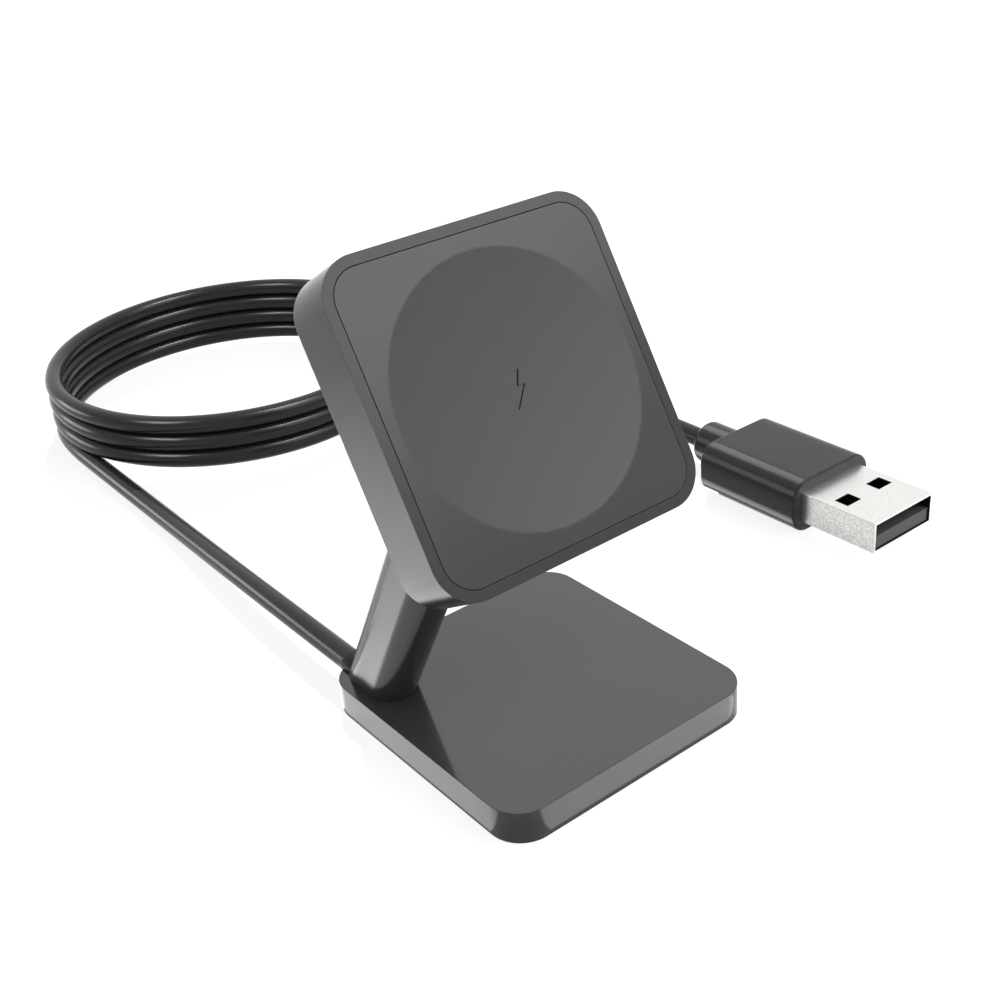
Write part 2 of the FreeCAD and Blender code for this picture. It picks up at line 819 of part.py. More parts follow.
def make_head_shell():
    """The tray: rim, panel ledge, deep cavity, board posts, neck slot and wire hole."""
    body = new_body("head_shell")
    outline = new_sketch(body, "outline", height=-sizes.head_thickness)
    add_rounded_rectangle(outline, sizes.head_width, sizes.head_height, sizes.head_corner)
    block = pad(body, outline, sizes.head_thickness)
    fillet(body, block, sizes.head_back_edge, lies_at(-sizes.head_thickness.value))
    opening = new_sketch(body, "opening")
    add_rounded_rectangle(opening, opening_width, opening_height, opening_corner)
    pocket(body, opening, ledge_depth)
    cavity = new_sketch(body, "cavity")
    add_rounded_rectangle(cavity, cavity_width, cavity_height, cavity_corner)
    pocket(body, cavity, cavity_depth)
    posts = new_sketch(body, "posts", height=-cavity_depth)
    pilots = new_sketch(body, "pilots", height=-board_back)
    for x, y in post_places:
        add_circle(posts, sizes.board_post, x, y)
        add_circle(pilots, sizes.screw_shank, x, y)
    pad(body, posts, cavity_depth - board_back)
    pocket(body, pilots, sizes.board_screw_bite)
    slot = new_sketch(body, "slot", height=-cavity_depth)
    add_slot(
        slot,
        sizes.spigot_width + 2 * sizes.fit_gap,
        sizes.head_spigot_length + 2 * sizes.fit_gap,
        neck_in_head_x,
        neck_in_head_y + head_spigot_y,
    )
    add_circle(slot, sizes.wire_hole, neck_in_head_x, neck_in_head_y + wire_hole_place)
    pocket(body, slot, sizes.back_wall)
    body.Placement = HEAD_PLACEMENT
    return body


def make_face_panel():
    """The face panel with its shallow spherical dish."""
    body = new_body("face_panel")
    outline = new_sketch(body, "outline", height=-sizes.panel_thickness)
    add_rounded_rectangle(
        outline,
        opening_width - 2 * sizes.seam,
        opening_height - 2 * sizes.seam,
        opening_corner - sizes.seam,
    )
    pad(body, outline, sizes.panel_thickness)
    dish = new_sketch(body, "dish", plane="XZ_Plane")
    half, deep = dish_diameter / 2, sizes.dish_depth
    ball = (half * half + deep * deep) / (2 * deep)
    sweep = math.asin(half.value / ball.value)
    centre = Vector(0, (ball - deep).value, 0)
    dish.addGeometry(
        Part.ArcOfCircle(
            Part.Circle(centre, Z_AXIS, ball.value), -math.pi / 2, sweep - math.pi / 2
        ),
        False,
    )
    side_lines(dish, [(half.value, 0), (0, 0), (0, -deep.value)])
    index = dish.addConstraint(Sketcher.Constraint("Radius", 0, ball.value))
    bind(dish, index, "ball", ball)
    place_point(dish, 0, 3, ZERO, ball - deep, "ball_centre")
    dish.addConstraint(Sketcher.Constraint("Horizontal", 1))
    dish.addConstraint(Sketcher.Constraint("Vertical", 2))
    place_point(dish, 1, 2, ZERO, ZERO, "dish_middle")
    dish.addConstraint(Sketcher.Constraint("Coincident", 0, 2, 1, 1))
    dish.addConstraint(Sketcher.Constraint("Coincident", 1, 2, 2, 1))
    dish.addConstraint(Sketcher.Constraint("Coincident", 2, 2, 0, 1))
    groove = body.newObject("PartDesign::Groove", "dish_groove")
    groove.Profile = dish
    groove.ReferenceAxis = (dish, ["V_Axis"])
    groove.Angle = 360
    before = body.Shape.Volume
    document.recompute()
    if body.Shape.Volume >= before - 1e-6:
        raise RuntimeError("the dish cut nothing")
    body.Placement = HEAD_PLACEMENT
    return body


def make_panel_tape():
    """The thin adhesive frame between the panel and the ledge."""
    body = new_body("panel_tape")
    outline = new_sketch(body, "outline", height=-ledge_depth)
    inset = 2 * sizes.seam
    add_rounded_rectangle(
        outline, opening_width - inset, opening_height - inset, opening_corner - sizes.seam
    )
    add_rounded_rectangle(outline, cavity_width, cavity_height, cavity_corner)
    pad(body, outline, sizes.tape_thickness)
    body.Placement = HEAD_PLACEMENT
    return body


def make_disc(label, depth, thickness, diameter, bore=None):
    """A disc or ring behind the panel, from a depth towards the back."""
    body = new_body(label)
    outline = new_sketch(body, "outline", height=-depth)
    add_circle(outline, diameter)
    if bore is not None:
        add_circle(outline, bore)
    pad(body, outline, thickness, reverse=True)
    body.Placement = HEAD_PLACEMENT
    return body


def make_circuit_board():
    """The board on its three posts."""
    body = new_body("circuit_board")
    outline = new_sketch(body, "outline", height=-board_back)
    add_rounded_rectangle(
        outline,
        board_width,
        board_height,
        sizes.board_corner,
        board_x,
    )
    for x, y in post_places:
        add_circle(outline, sizes.screw_shank + 2 * sizes.fit_gap, x, y)
    pad(body, outline, board_thickness)
    body.Placement = HEAD_PLACEMENT
    return body


def make_board_screws():
    """Three screws through the board into its posts."""
    shape = screw(
        sizes.screw_shank.value,
        (board_thickness + sizes.board_screw_bite - sizes.fit_gap).value,
        sizes.screw_head.value,
        sizes.screw_head_height.value,
    )
    shape.rotate(Vector(0, 0, 0), X_AXIS, 180)
    group = []
    for x, y in post_places:
        copy = shape.copy()
        copy.translate(Vector(x.value, y.value, -board_depth.value))
        group.append(copy)
    return add_piece("board_screws", Part.makeCompound(group), HEAD_PLACEMENT)


def make_control_chip():
    """The charging controller on the back of the board."""
    body = new_body("control_chip")
    outline = new_sketch(body, "outline", height=-board_back)
    add_rectangle(outline, sizes.chip_side, sizes.chip_side, board_x)
    pad(body, outline, head_room * sizes.chip_share, reverse=True)
    body.Placement = HEAD_PLACEMENT
    return body


def make_board_capacitors():
    """Six small capacitors in two rows beside the controller."""
    length, width = sizes.capacitor_length.value, sizes.capacitor_width.value
    height = (head_room * sizes.board_share).value
    row = sizes.chip_side.value
    group = []
    for side in (-1, 1):
        for step in (-1, 0, 1):
            block = Part.makeBox(length, width, height)
            x = board_x.value + step * 2 * length - length / 2
            y = side * row - width / 2
            block.translate(Vector(x, y, -board_back.value - height))
            group.append(block)
    return add_piece("board_capacitors", Part.makeCompound(group), HEAD_PLACEMENT)


def make_neck_wires():
    """Four thin wires from the gland, up the duct and across the head to the board."""
    radius = sizes.wire_diameter.value / 2
    # The pair nearer the board ends under it, the other pair at its edge
    under = board_back.value + radius
    beside = board_depth.value + radius
    board_edge = face_centre.x + (board_x - board_width / 2).value
    routes = ((1, under, board_edge + 3 * radius), (-1, beside, board_edge))
    group = []
    for side, depth, end_x in routes:
        for row in (-1, 1):
            local = Vector(side * radius, duct_place.value + row * radius, 0)
            start = NECK_PLACEMENT.multVec(local)
            rise = (face_centre - start).dot(face_normal) - depth
            bend = start + neck_axis * (rise / neck_axis.dot(face_normal))
            wire = Part.makeCylinder(radius, (bend - start).Length, start, neck_axis)
            wire = wire.fuse(Part.makeSphere(radius, bend))
            wire = wire.fuse(Part.makeCylinder(radius, end_x - bend.x, bend, X_AXIS))
            group.append(wire.removeSplitter())
    return add_piece("neck_wires", Part.makeCompound(group))


# Lead: straight runs joined by tangent arcs, and the outer shape of the coil


def tube_path(points):
    """The wire through the points, each inner point turned by the largest arc that fits."""
    edges = []
    radii = []
    start = points[0]
    for before, corner, after in zip(points, points[1:], points[2:]):
        run_in, run_out = corner - before, after - corner
        turn = run_in.getAngle(run_out)
        cut = 0.45 * min(run_in.Length, run_out.Length)
        radii.append(cut / math.tan(turn / 2))
        run_in.normalize()
        run_out.normalize()
        enter, leave = corner - run_in * cut, corner + run_out * cut
        inward = run_out - run_in
        inward.normalize()
        sagitta = radii[-1] * (1 / math.cos(turn / 2) - 1)
        middle = corner + inward * sagitta
        edges.append(Part.LineSegment(start, enter).toShape())
        edges.append(Part.Arc(enter, middle, leave).toShape())
        start = leave
    edges.append(Part.LineSegment(start, points[-1]).toShape())
    return Part.Wire(edges), radii


def make_tube(label, points):
    """A round tube along the points; prints its radii and checks its volume."""
    path, radii = tube_path(points)
    direction = points[1] - points[0]
    circle = Part.Wire([Part.makeCircle(cable_radius.value, points[0], direction)])
    solid = path.makePipeShell([circle], True, False)
    expected = math.pi * cable_radius.value**2 * path.Length
    print(label, "radii", [round(radius, 1) for radius in radii], "length", path.Length)
    if abs(solid.Volume / expected - 1) > 0.01:
        raise RuntimeError(f"{label} has a wrong volume")
    return add_piece(label, solid)


coil_x = coil_left + sizes.coil_radius
coil_right = coil_x + sizes.coil_radius
coil_y = sizes.base_depth / 2 + sizes.coil_from_rear
coil_front = coil_y - sizes.coil_stub
coil_low = cable_radius
coil_high = coil_low + sizes.coil_turns * sizes.cable_diameter
base_rear = sizes.base_depth / 2
plug_rear = (
    sizes.plug_front + sizes.shell_exposed + sizes.plug_length + sizes.boot_length
)


def point(x, y, z):
    """A point of the lead's route."""
    return Vector(x.value, y.value, z.value)


# From the gland at the neck's foot back to the coil's first turn
LEAD_POINTS = [
    point(lead_x, base_rear, sizes.lead_place_z),
    point(lead_x, base_rear + sizes.lead_level_run, sizes.lead_place_z),
    point(coil_left, coil_front - sizes.lead_level_run, coil_low),
    point(coil_left, coil_front, coil_low),
]
# From the coil's last turn forward to the plug
TAIL_POINTS = [
    point(coil_right, coil_front, coil_high),
    point(coil_right, coil_front - sizes.tail_level_run, coil_high),
    point(sizes.plug_place_x, plug_rear + sizes.tail_level_run, plug_axis_z),
    point(sizes.plug_place_x, plug_rear, plug_axis_z),
]


def make_cable_gland():
    """The soft ring that holds the lead where it enters the neck's foot."""
    gland = document.addObject("Part::Cylinder", "cable_gland")
    gland.Label = "cable_gland"
    gland.setExpression("Radius", (sizes.gland_diameter / 2).text)
    gland.setExpression("Height", sizes.gland_length.text)
    gland.Placement = FreeCAD.Placement(
        point(lead_x, gland_start, sizes.lead_place_z),
        FreeCAD.Rotation(X_AXIS, -90.0),
    )
    return gland


def make_cable_coil():
    """The stacked turns as one ring, with the two straight ends that leave it."""
    inner = sizes.coil_radius.value - cable_radius.value
    height = (coil_high + cable_radius).value
    soft = 0.7 * cable_radius.value
    middle = point(coil_x, coil_y, ZERO)
    corners = [Vector(inner, 0, 0), Vector(inner + sizes.cable_diameter.value, 0, 0)]
    corners += [corners[1] + Z_AXIS * height, corners[0] + Z_AXIS * height]
    section = Part.makePolygon(corners + corners[:1])
    ring = Part.Face(section).revolve(Vector(0, 0, 0), Z_AXIS, 360)
    ring = ring.makeFillet(soft, ring.Edges)
    ring.translate(middle)
    run = sizes.coil_stub.value - sizes.coil_stub_start.value
    for x, z in ((coil_left, coil_low), (coil_right, coil_high)):
        stub = Part.makeCylinder(
            cable_radius.value, run, point(x, coil_front, z), Vector(0, 1, 0)
        )
        ring = ring.fuse(stub)
    return add_piece("cable_coil", ring.removeSplitter())


# Plug: a stamped shell round a tongue with four contacts, in a moulded grip

plug_front_y = sizes.plug_front
grip_front_y = plug_front_y + sizes.shell_exposed
shell_back_y = grip_front_y + sizes.shell_buried
grip_back_y = grip_front_y + sizes.plug_length


def front_sketch(body, name, y):
    """A sketch across the plug at a given y, seen from the front: x right, z up."""
    return new_sketch(body, name, plane="XZ_Plane", height=-y)


def make_plug_shell():
    """The stamped tube with its four latch windows."""
    body = new_body("plug_shell")
    section = front_sketch(body, "section", shell_back_y)
    add_rounded_rectangle(
        section,
        sizes.shell_width,
        sizes.shell_height,
        sizes.shell_corner,
        sizes.plug_place_x,
        plug_axis_z,
    )
    add_rounded_rectangle(
        section,
        sizes.shell_width - 2 * sizes.shell_wall,
        sizes.shell_height - 2 * sizes.shell_wall,
        sizes.shell_corner - sizes.shell_wall,
        sizes.plug_place_x,
        plug_axis_z,
    )
    pad(body, section, sizes.shell_exposed + sizes.shell_buried)
    windows = new_sketch(body, "windows", height=sizes.plug_height)
    for side in (-0.5, 0.5):
        add_rectangle(
            windows,
            sizes.window_width,
            sizes.window_length,
            sizes.plug_place_x + side * sizes.window_spacing,
            plug_front_y + sizes.window_from_end,
        )
    pocket(body, windows, sizes.plug_height)
    return body


tongue_low = plug_axis_z - sizes.shell_height / 2 + sizes.shell_wall + sizes.tongue_clear
tongue_width = sizes.shell_width - 2 * (sizes.shell_wall + sizes.tongue_clear)


def make_plug_tongue():
    """The insulating tongue that fills the lower half of the shell."""
    body = new_body("plug_tongue")
    section = front_sketch(body, "section", shell_back_y)
    add_rectangle(
        section,
        tongue_width,
        sizes.tongue_height,
        sizes.plug_place_x,
        tongue_low + sizes.tongue_height / 2,
    )
    pad(
        body,
        section,
        sizes.shell_exposed + sizes.shell_buried - sizes.shell_wall,
    )
    return body


def make_plug_contacts():
    """Four flat contacts on the tongue: the outer pair reaches further forward."""
    spacing = (3.5, 1.0)
    top = (tongue_low + sizes.tongue_height).value
    group = []
    for place, length in zip(spacing, (sizes.contact_long, sizes.contact_short)):
        for side in (-1, 1):
            strip = Part.makeBox(
                sizes.contact_width.value, length.value, sizes.contact_thickness.value
            )
            x = sizes.plug_place_x.value + side * place - sizes.contact_width.value / 2
            strip.translate(Vector(x, grip_front_y.value - length.value, top))
            group.append(strip)
    return add_piece("plug_contacts", Part.makeCompound(group))


def make_plug_body():
    """The moulded grip with its rounded long edges, and the round boot behind."""
    body = new_body("plug_body")
    section = front_sketch(body, "section", grip_back_y)
    add_rounded_rectangle(
        section,
        sizes.plug_width,
        sizes.plug_height,
        sizes.plug_corner,
        sizes.plug_place_x,
        plug_axis_z,
    )
    grip = pad(body, section, sizes.plug_length)
    back = grip_back_y.value
    front = grip_front_y.value
    fillet(
        body,
        grip,
        sizes.plug_edge,
        lambda edge: all(abs(vertex.Y - back) < 1e-4 for vertex in edge.Vertexes)
        or all(abs(vertex.Y - front) < 1e-4 for vertex in edge.Vertexes),
    )
    boot = front_sketch(body, "boot", grip_back_y)
    add_circle(boot, sizes.boot_diameter, sizes.plug_place_x, plug_axis_z)
    pad(body, boot, sizes.boot_length, reverse=True)
    cavity = front_sketch(body, "cavity", grip_front_y)
    add_rounded_rectangle(
        cavity,
        sizes.shell_width,
        sizes.shell_height,
        sizes.shell_corner,
        sizes.plug_place_x,
        plug_axis_z,
    )
    pocket(body, cavity, sizes.shell_buried)
    return body


pieces = [
    make_base_cover(),
    make_base_plate(),
    make_foot_pad(),
    make_base_weight(),
    make_base_screws(),
    make_neck(),
    *make_neck_clamps(),
    make_head_shell(),
    make_face_panel(),
    make_panel_tape(),
    make_disc(
        "charging_coil",
        panel_back,
        coil_thickness,
        dish_diameter - 2 * sizes.coil_margin,
        sizes.coil_inner,
    ),
    make_disc("alignment_magnet", panel_back, coil_thickness, sizes.magnet_diameter),
    make_disc(
        "ferrite_disc",
        ferrite_depth,
        head_room * sizes.ferrite_share,
        dish_diameter - 2 * sizes.ferrite_margin,
    ),
    make_circuit_board(),
    make_board_screws(),
    make_control_chip(),
    make_board_capacitors(),
    make_neck_wires(),
    make_cable_gland(),
    make_tube("cable_lead", LEAD_POINTS),
    make_cable_coil(),
    make_tube("cable_tail", TAIL_POINTS),
    make_plug_shell(),
    make_plug_tongue(),
    make_plug_contacts(),
    make_plug_body(),
]

document.recompute()
for item in document.Objects:
    if "Invalid" in item.State or "Error" in item.State:
        raise RuntimeError(f"{item.Name} is {item.State}")
for piece in pieces:
    if piece.Shape.isNull() or not piece.Shape.isValid():
        raise RuntimeError(f"{piece.Label} has no valid shape")

os.makedirs("parts", exist_ok=True)
for piece in pieces:
    piece.Shape.exportStep(f"parts/{piece.Label}.step")
    print(piece.Label, len(piece.Shape.Solids), round(piece.Shape.Volume, 2))
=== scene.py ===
import math

import bmesh
import bpy
import numpy as np
from mathutils import Matrix, Vector
from mathutils.geometry import delaunay_2d_cdt


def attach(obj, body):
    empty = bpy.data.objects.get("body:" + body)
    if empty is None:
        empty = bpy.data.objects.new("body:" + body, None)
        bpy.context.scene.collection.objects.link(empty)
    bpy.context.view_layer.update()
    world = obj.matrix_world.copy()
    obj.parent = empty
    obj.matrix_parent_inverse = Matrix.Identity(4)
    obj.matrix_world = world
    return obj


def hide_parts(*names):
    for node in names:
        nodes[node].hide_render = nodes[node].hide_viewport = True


# A small charging dock for a smartwatch: a weighted square base, a leaning neck, a tilted
# square head with a round dish, and a lead wound in a coil that ends in a flat plug.
# Metres; +Z up, the front is -Y, and the origin lies under the middle of the base.

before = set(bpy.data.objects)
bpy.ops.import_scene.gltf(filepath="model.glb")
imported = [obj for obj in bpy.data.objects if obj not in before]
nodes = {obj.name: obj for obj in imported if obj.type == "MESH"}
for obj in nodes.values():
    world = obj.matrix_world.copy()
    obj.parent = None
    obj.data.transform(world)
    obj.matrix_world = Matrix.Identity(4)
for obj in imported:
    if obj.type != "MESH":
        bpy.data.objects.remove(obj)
scene = bpy.context.scene
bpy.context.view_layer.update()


# Camera. The view that the photograph was taken from, found from the edges of the base, the
# head and the plug.

CAMERA_PLACE = (-0.07829, -0.10399, 0.09842)
CAMERA_RIGHT = Vector((0.783892, -0.616167, -0.076531))
CAMERA_UP = Vector((0.346869, 0.332319, 0.877020))
CAMERA_LENS = 50.13

camera_data = bpy.data.cameras.new("Camera")
camera_data.lens = CAMERA_LENS
camera_data.sensor_width = 36.0
camera_data.clip_start = 0.005
camera = bpy.data.objects.new("Camera", camera_data)
camera_turn = Matrix((CAMERA_RIGHT, CAMERA_UP, CAMERA_RIGHT.cross(CAMERA_UP))).transposed()
camera.matrix_world = Matrix.Translation(CAMERA_PLACE) @ camera_turn.to_4x4()
scene.collection.objects.link(camera)
scene.camera = camera


# Lead. A round lead in a smooth soft jacket. It leaves the base behind the neck's foot, lies
# in three and a half touching turns, and comes forward again to the plug.

MM = 0.001
LEAD_DIAMETER = 2.9 * MM
LEAD_EXIT = (-0.0136, 0.0178, 0.0040)
COIL_CENTRE = (0.0172, 0.1049)
COIL_RADIUS = 29.0 * MM
COIL_TURNS = 3.5
COIL_STEPS = 16
COIL_BOTTOM = LEAD_DIAMETER / 2
TAIL_EXIT = (0.0575, 0.0283, 0.0040)


def coil_turn_points(steps, turns, radius, pitch):
    """Control points of the turns, clockwise from the left: each lies at radius / cos of half
    a step, so that the smooth line between them runs at the radius, and the height grows by
    the pitch with each turn."""
    reach = radius / math.cos(math.pi / steps)
    count = int(round(steps * turns))
    turn = (np.arange(count) + 0.5) / steps
    angle = math.pi - turn * 2 * math.pi
    return np.column_stack(
        (
            COIL_CENTRE[0] + reach * np.cos(angle),
            COIL_CENTRE[1] + reach * np.sin(angle),
            COIL_BOTTOM + pitch * turn,
        )
    ).tolist()


lead_route = [
    LEAD_EXIT,
    (-0.01375, 0.0398, 0.0040),
    (-0.01195, 0.0700, 0.00145),
    (-0.01185, 0.0920, 0.00145),
]
lead_route += coil_turn_points(COIL_STEPS, COIL_TURNS, COIL_RADIUS, LEAD_DIAMETER)
lead_route += [
    (0.0462, 0.0920, 0.0116),
    (0.0462, 0.0735, 0.0116),
    (0.0575, 0.0468, 0.0040),
    TAIL_EXIT,
]

lead_curve = bpy.data.curves.new("lead", "CURVE")
lead_curve.dimensions = "3D"
spline = lead_curve.splines.new("NURBS")
spline.points.add(len(lead_route) - 1)
spline.points.foreach_set("co", [c for point in lead_route for c in (*point, 1.0)])
spline.order_u = 3
spline.use_endpoint_u = True
spline.resolution_u = 8
lead_curve.bevel_depth = LEAD_DIAMETER / 2
lead_curve.bevel_resolution = 8
lead_curve.use_fill_caps = True
lead = bpy.data.objects.new("lead", lead_curve)
scene.collection.objects.link(lead)


def shader_group(name, inputs, outputs):
    """An empty shader node group with named inputs (name, kind, value) and outputs."""
    group = bpy.data.node_groups.new(name, "ShaderNodeTree")
    for label, kind, value in inputs:
        socket = group.interface.new_socket(label, in_out="INPUT", socket_type=kind)
        socket.default_value = value
    for label, kind in outputs:
        group.interface.new_socket(label, in_out="OUTPUT", socket_type=kind)
    return group, group.nodes.new("NodeGroupInput"), group.nodes.new("NodeGroupOutput")


def moulded_surface_group():
    """Moulded skin. A broad noise less a half scales the colour by 1 plus Cloud times it, and
    adds Roughness spread times it to the roughness. A fine noise, the grain, is the height."""
    group, enter, leave = shader_group(
        "moulded surface",
        [
            ("Colour", "NodeSocketColor", (0.1, 0.1, 0.1, 1.0)),
            ("Grain per metre", "NodeSocketFloat", 9000.0),
            ("Grain depth", "NodeSocketFloat", 0.1),
            ("Cloud", "NodeSocketFloat", 0.06),
            ("Roughness", "NodeSocketFloat", 0.35),
            ("Roughness spread", "NodeSocketFloat", 0.05),
        ],
        [
            ("Colour", "NodeSocketColor"),
            ("Roughness", "NodeSocketFloat"),
            ("Normal", "NodeSocketVector"),
        ],
    )
    make, link = group.nodes.new, group.links.new
    place = make("ShaderNodeTexCoord")
    grain = make("ShaderNodeTexNoise")
    grain.inputs["Detail"].default_value = 3.0
    cloud = make("ShaderNodeTexNoise")
    cloud.inputs["Scale"].default_value = 160.0
    cloud.inputs["Detail"].default_value = 2.0
    link(place.outputs["Object"], grain.inputs["Vector"])
    link(place.outputs["Object"], cloud.inputs["Vector"])
    link(enter.outputs["Grain per metre"], grain.inputs["Scale"])
    shift = make("ShaderNodeMath")
    shift.operation = "SUBTRACT"
    shift.inputs[1].default_value = 0.5
    link(cloud.outputs["Fac"], shift.inputs[0])
    amount = make("ShaderNodeMath")
    amount.operation = "MULTIPLY_ADD"
    amount.inputs[2].default_value = 1.0
    link(shift.outputs[0], amount.inputs[0])
    link(enter.outputs["Cloud"], amount.inputs[1])
    tint = make("ShaderNodeVectorMath")
    tint.operation = "SCALE"
    link(enter.outputs["Colour"], tint.inputs[0])
    link(amount.outputs[0], tint.inputs["Scale"])
    link(tint.outputs[0], leave.inputs["Colour"])
    rough = make("ShaderNodeMath")
    rough.operation = "MULTIPLY_ADD"
    link(shift.outputs[0], rough.inputs[0])
    link(enter.outputs["Roughness spread"], rough.inputs[1])
    link(enter.outputs["Roughness"], rough.inputs[2])
    link(rough.outputs[0], leave.inputs["Roughness"])
    bump = make("ShaderNodeBump")
    bump.inputs["Distance"].default_value = 0.00002
    link(enter.outputs["Grain depth"], bump.inputs["Strength"])
    link(grain.outputs["Fac"], bump.inputs["Height"])
    link(bump.outputs["Normal"], leave.inputs["Normal"])
    return group


MOULDED = moulded_surface_group()


def grouped_material(name, group, settings, **plain):
    """A Principled material fed by a group's outputs: settings go to the group's inputs, and
    plain holds the constants that stand on the shader's own sockets."""
    material = bpy.data.materials.new(name)
    material.use_nodes = True
    tree = material.node_tree
    shader = tree.nodes["Principled BSDF"]
    skin = tree.nodes.new("ShaderNodeGroup")
    skin.node_tree = group
    for socket, value in settings.items():
        skin.inputs[socket].default_value = value
    for output in skin.outputs:
        socket = "Base Color" if output.name == "Colour" else output.name
        tree.links.new(output, shader.inputs[socket])
    for socket, value in plain.items():
        shader.inputs[socket.replace("_", " ")].default_value = value
    return material


def moulded_material(name, colour, roughness, grain=9000.0, depth=0.1, **plain):
    """Moulded plastic or rubber of one colour, with its grain per metre and grain depth."""
    settings = {
        "Colour": (*colour, 1.0),
        "Grain per metre": grain,
        "Grain depth": depth,
        "Roughness": roughness,
    }
    return grouped_material(name, MOULDED, settings, **plain)


lead_curve.materials.append(
    moulded_material(
        "lead jacket",
        (0.033, 0.033, 0.0335),
        0.22,
        grain=5000.0,
        depth=0.05,
        Specular_IOR_Level=0.20,
    )
)
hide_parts("cable_lead", "cable_coil", "cable_tail")
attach(lead, "root")


# Base. A moulded cover over a steel weight, with plain upright sides and a small round on
# its top edge. A plate closes it from below, over a soft foot pad.

BASE_SIZE = (34.7 * MM, 35.6 * MM)
BASE_CORNER = 4.1 * MM
BASE_TOP = 4.0 * MM
BASE_BOTTOM = 0.05 * MM
BASE_WALL = 1.2 * MM
BASE_CEILING = 3.0 * MM
CORNER_STEPS = 14
HOUSING_GREY = (0.072, 0.072, 0.0725)


def rounded_outline(width, depth, corner, steps=CORNER_STEPS, side=8):
    """A closed outline, anticlockwise: four quarter circles centred one corner radius inside
    the rectangle's corners, with evenly spaced points on the straight sides between."""
    corner = max(corner, 1e-6)
    turn = np.linspace(0, math.pi / 2, steps + 1)
    arcs = []
    for quarter, signs in enumerate(((1, 1), (-1, 1), (-1, -1), (1, -1))):
        centre = (np.array((width, depth)) / 2 - corner) * signs
        angle = turn + quarter * math.pi / 2
        arcs.append(centre + corner * np.column_stack((np.cos(angle), np.sin(angle))))
    share = np.linspace(0, 1, side + 2)[1:-1, None]
    outline = []
    for arc, following in zip(arcs, arcs[1:] + arcs[:1]):
        outline += [arc, arc[-1] + (following[0] - arc[-1]) * share]
    return np.concatenate(outline)


def profile_rings(profile, width, depth, corner):
    """Rings of a rounded box: for each (inset, height) of the profile, the outline of the box
    less twice the inset, with its corners less the inset, at that height."""
    rings = []
    for inset, height in profile:
        flat = rounded_outline(width - 2 * inset, depth - 2 * inset, corner - inset)
        rings.append(np.column_stack((flat, np.full(len(flat), height))))
    return np.array(rings)


def quarter_round(inset, height, radius, start, end, steps=5):
    """Points of an edge round: the centre plus radius times cos and sin from start to end, as
    (inset, height), with the inset counted inwards."""
    angle = np.radians(np.linspace(start, end, steps))
    return np.column_stack(
        (inset - radius * np.cos(angle), height + radius * np.sin(angle))
    ).tolist()


def skin_mesh(name, rings, caps=(True, True), closed=False):
    """A mesh from rings of points (ring, point, xyz): four-sided faces join ring i to i + 1
    and point j to j + 1, and a many-sided face closes each end that has a cap."""
    count, width = rings.shape[:2]
    vertices = rings.reshape(-1, 3)
    last = count if closed else count - 1
    ring = np.arange(last)[:, None]
    point = np.arange(width)[None, :]
    here = ring * width
    there = ((ring + 1) % count) * width
    after = (point + 1) % width
    quads = np.stack((here + point, here + after, there + after, there + point), -1)
    faces = quads.reshape(-1, 4).tolist()
    if caps[0]:
        faces.append(list(range(width))[::-1])
    if caps[1]:
        faces.append(list(range((count - 1) * width, count * width)))
    mesh = bpy.data.meshes.new(name)
    mesh.from_pydata(vertices.tolist(), [], faces)
    mesh.validate()
    return mesh


def finish_piece(name, mesh, material, node):
    """Shades the mesh smooth with sharp creases above 32 degrees, and lets it stand for the
    node."""
    mesh.shade_smooth()
    mesh.set_sharp_from_angle(angle=math.radians(32))
    mesh.materials.append(material)
    piece = bpy.data.objects.new(name, mesh)
    scene.collection.objects.link(piece)
    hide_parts(node)
    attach(piece, "root")
    return piece


housing = moulded_material("housing grey", HOUSING_GREY, 0.20, Specular_IOR_Level=0.30)
top_round = 0.07 * MM
foot_round = 0.05 * MM
base_profile = [
    (BASE_WALL, BASE_CEILING),
    (BASE_WALL, BASE_BOTTOM),
    (foot_round + 0.06 * MM, BASE_BOTTOM),
    *quarter_round(foot_round, BASE_BOTTOM + foot_round, foot_round, -90, 0),
    (0.0, BASE_BOTTOM + foot_round + 0.05 * MM),
    (0.0, BASE_TOP - top_round - 0.05 * MM),
    *quarter_round(top_round, BASE_TOP - top_round, top_round, 0, 90),
    (top_round + 0.08 * MM, BASE_TOP),
]
base_rings = profile_rings(base_profile, *BASE_SIZE, BASE_CORNER)
base_cover = finish_piece(
    "base_cover_skin", skin_mesh("base_cover_skin", base_rings), housing, "base_cover"
)


def dress(material, *names):
    """Gives CAD nodes a material in place of their own."""
    for name in names:
        nodes[name].data.materials.clear()
        nodes[name].data.materials.append(material)


dress(
    moulded_material("foot rubber", (0.022, 0.022, 0.022), 0.75, grain=4000.0, depth=0.4),
    "foot_pad",
)
dress(moulded_material("plate black", (0.03, 0.03, 0.03), 0.5, depth=0.3), "base_plate")


# Neck. A hollow flat-oval column of the same plastic, cut level at its foot and along the
# head's back at its top. The lead enters its foot through a small soft collar.

NECK_FOOT = np.array((-12.91, 12.23, 4.0)) * MM
NECK_LEAN = math.radians(29.5)
NECK_RUN = 26.91 * MM
NECK_SIZE = (6.1 * MM, 8.65 * MM)
HEAD_TILT = math.radians(30.4)
ACROSS = np.array((1.0, 0.0, 0.0))
NECK_AXIS = np.array((0.0, -math.sin(NECK_LEAN), math.cos(NECK_LEAN)))
NECK_BACK = np.array((0.0, math.cos(NECK_LEAN), math.sin(NECK_LEAN)))
FACE_NORMAL = np.array((0.0, -math.cos(HEAD_TILT), math.sin(HEAD_TILT)))


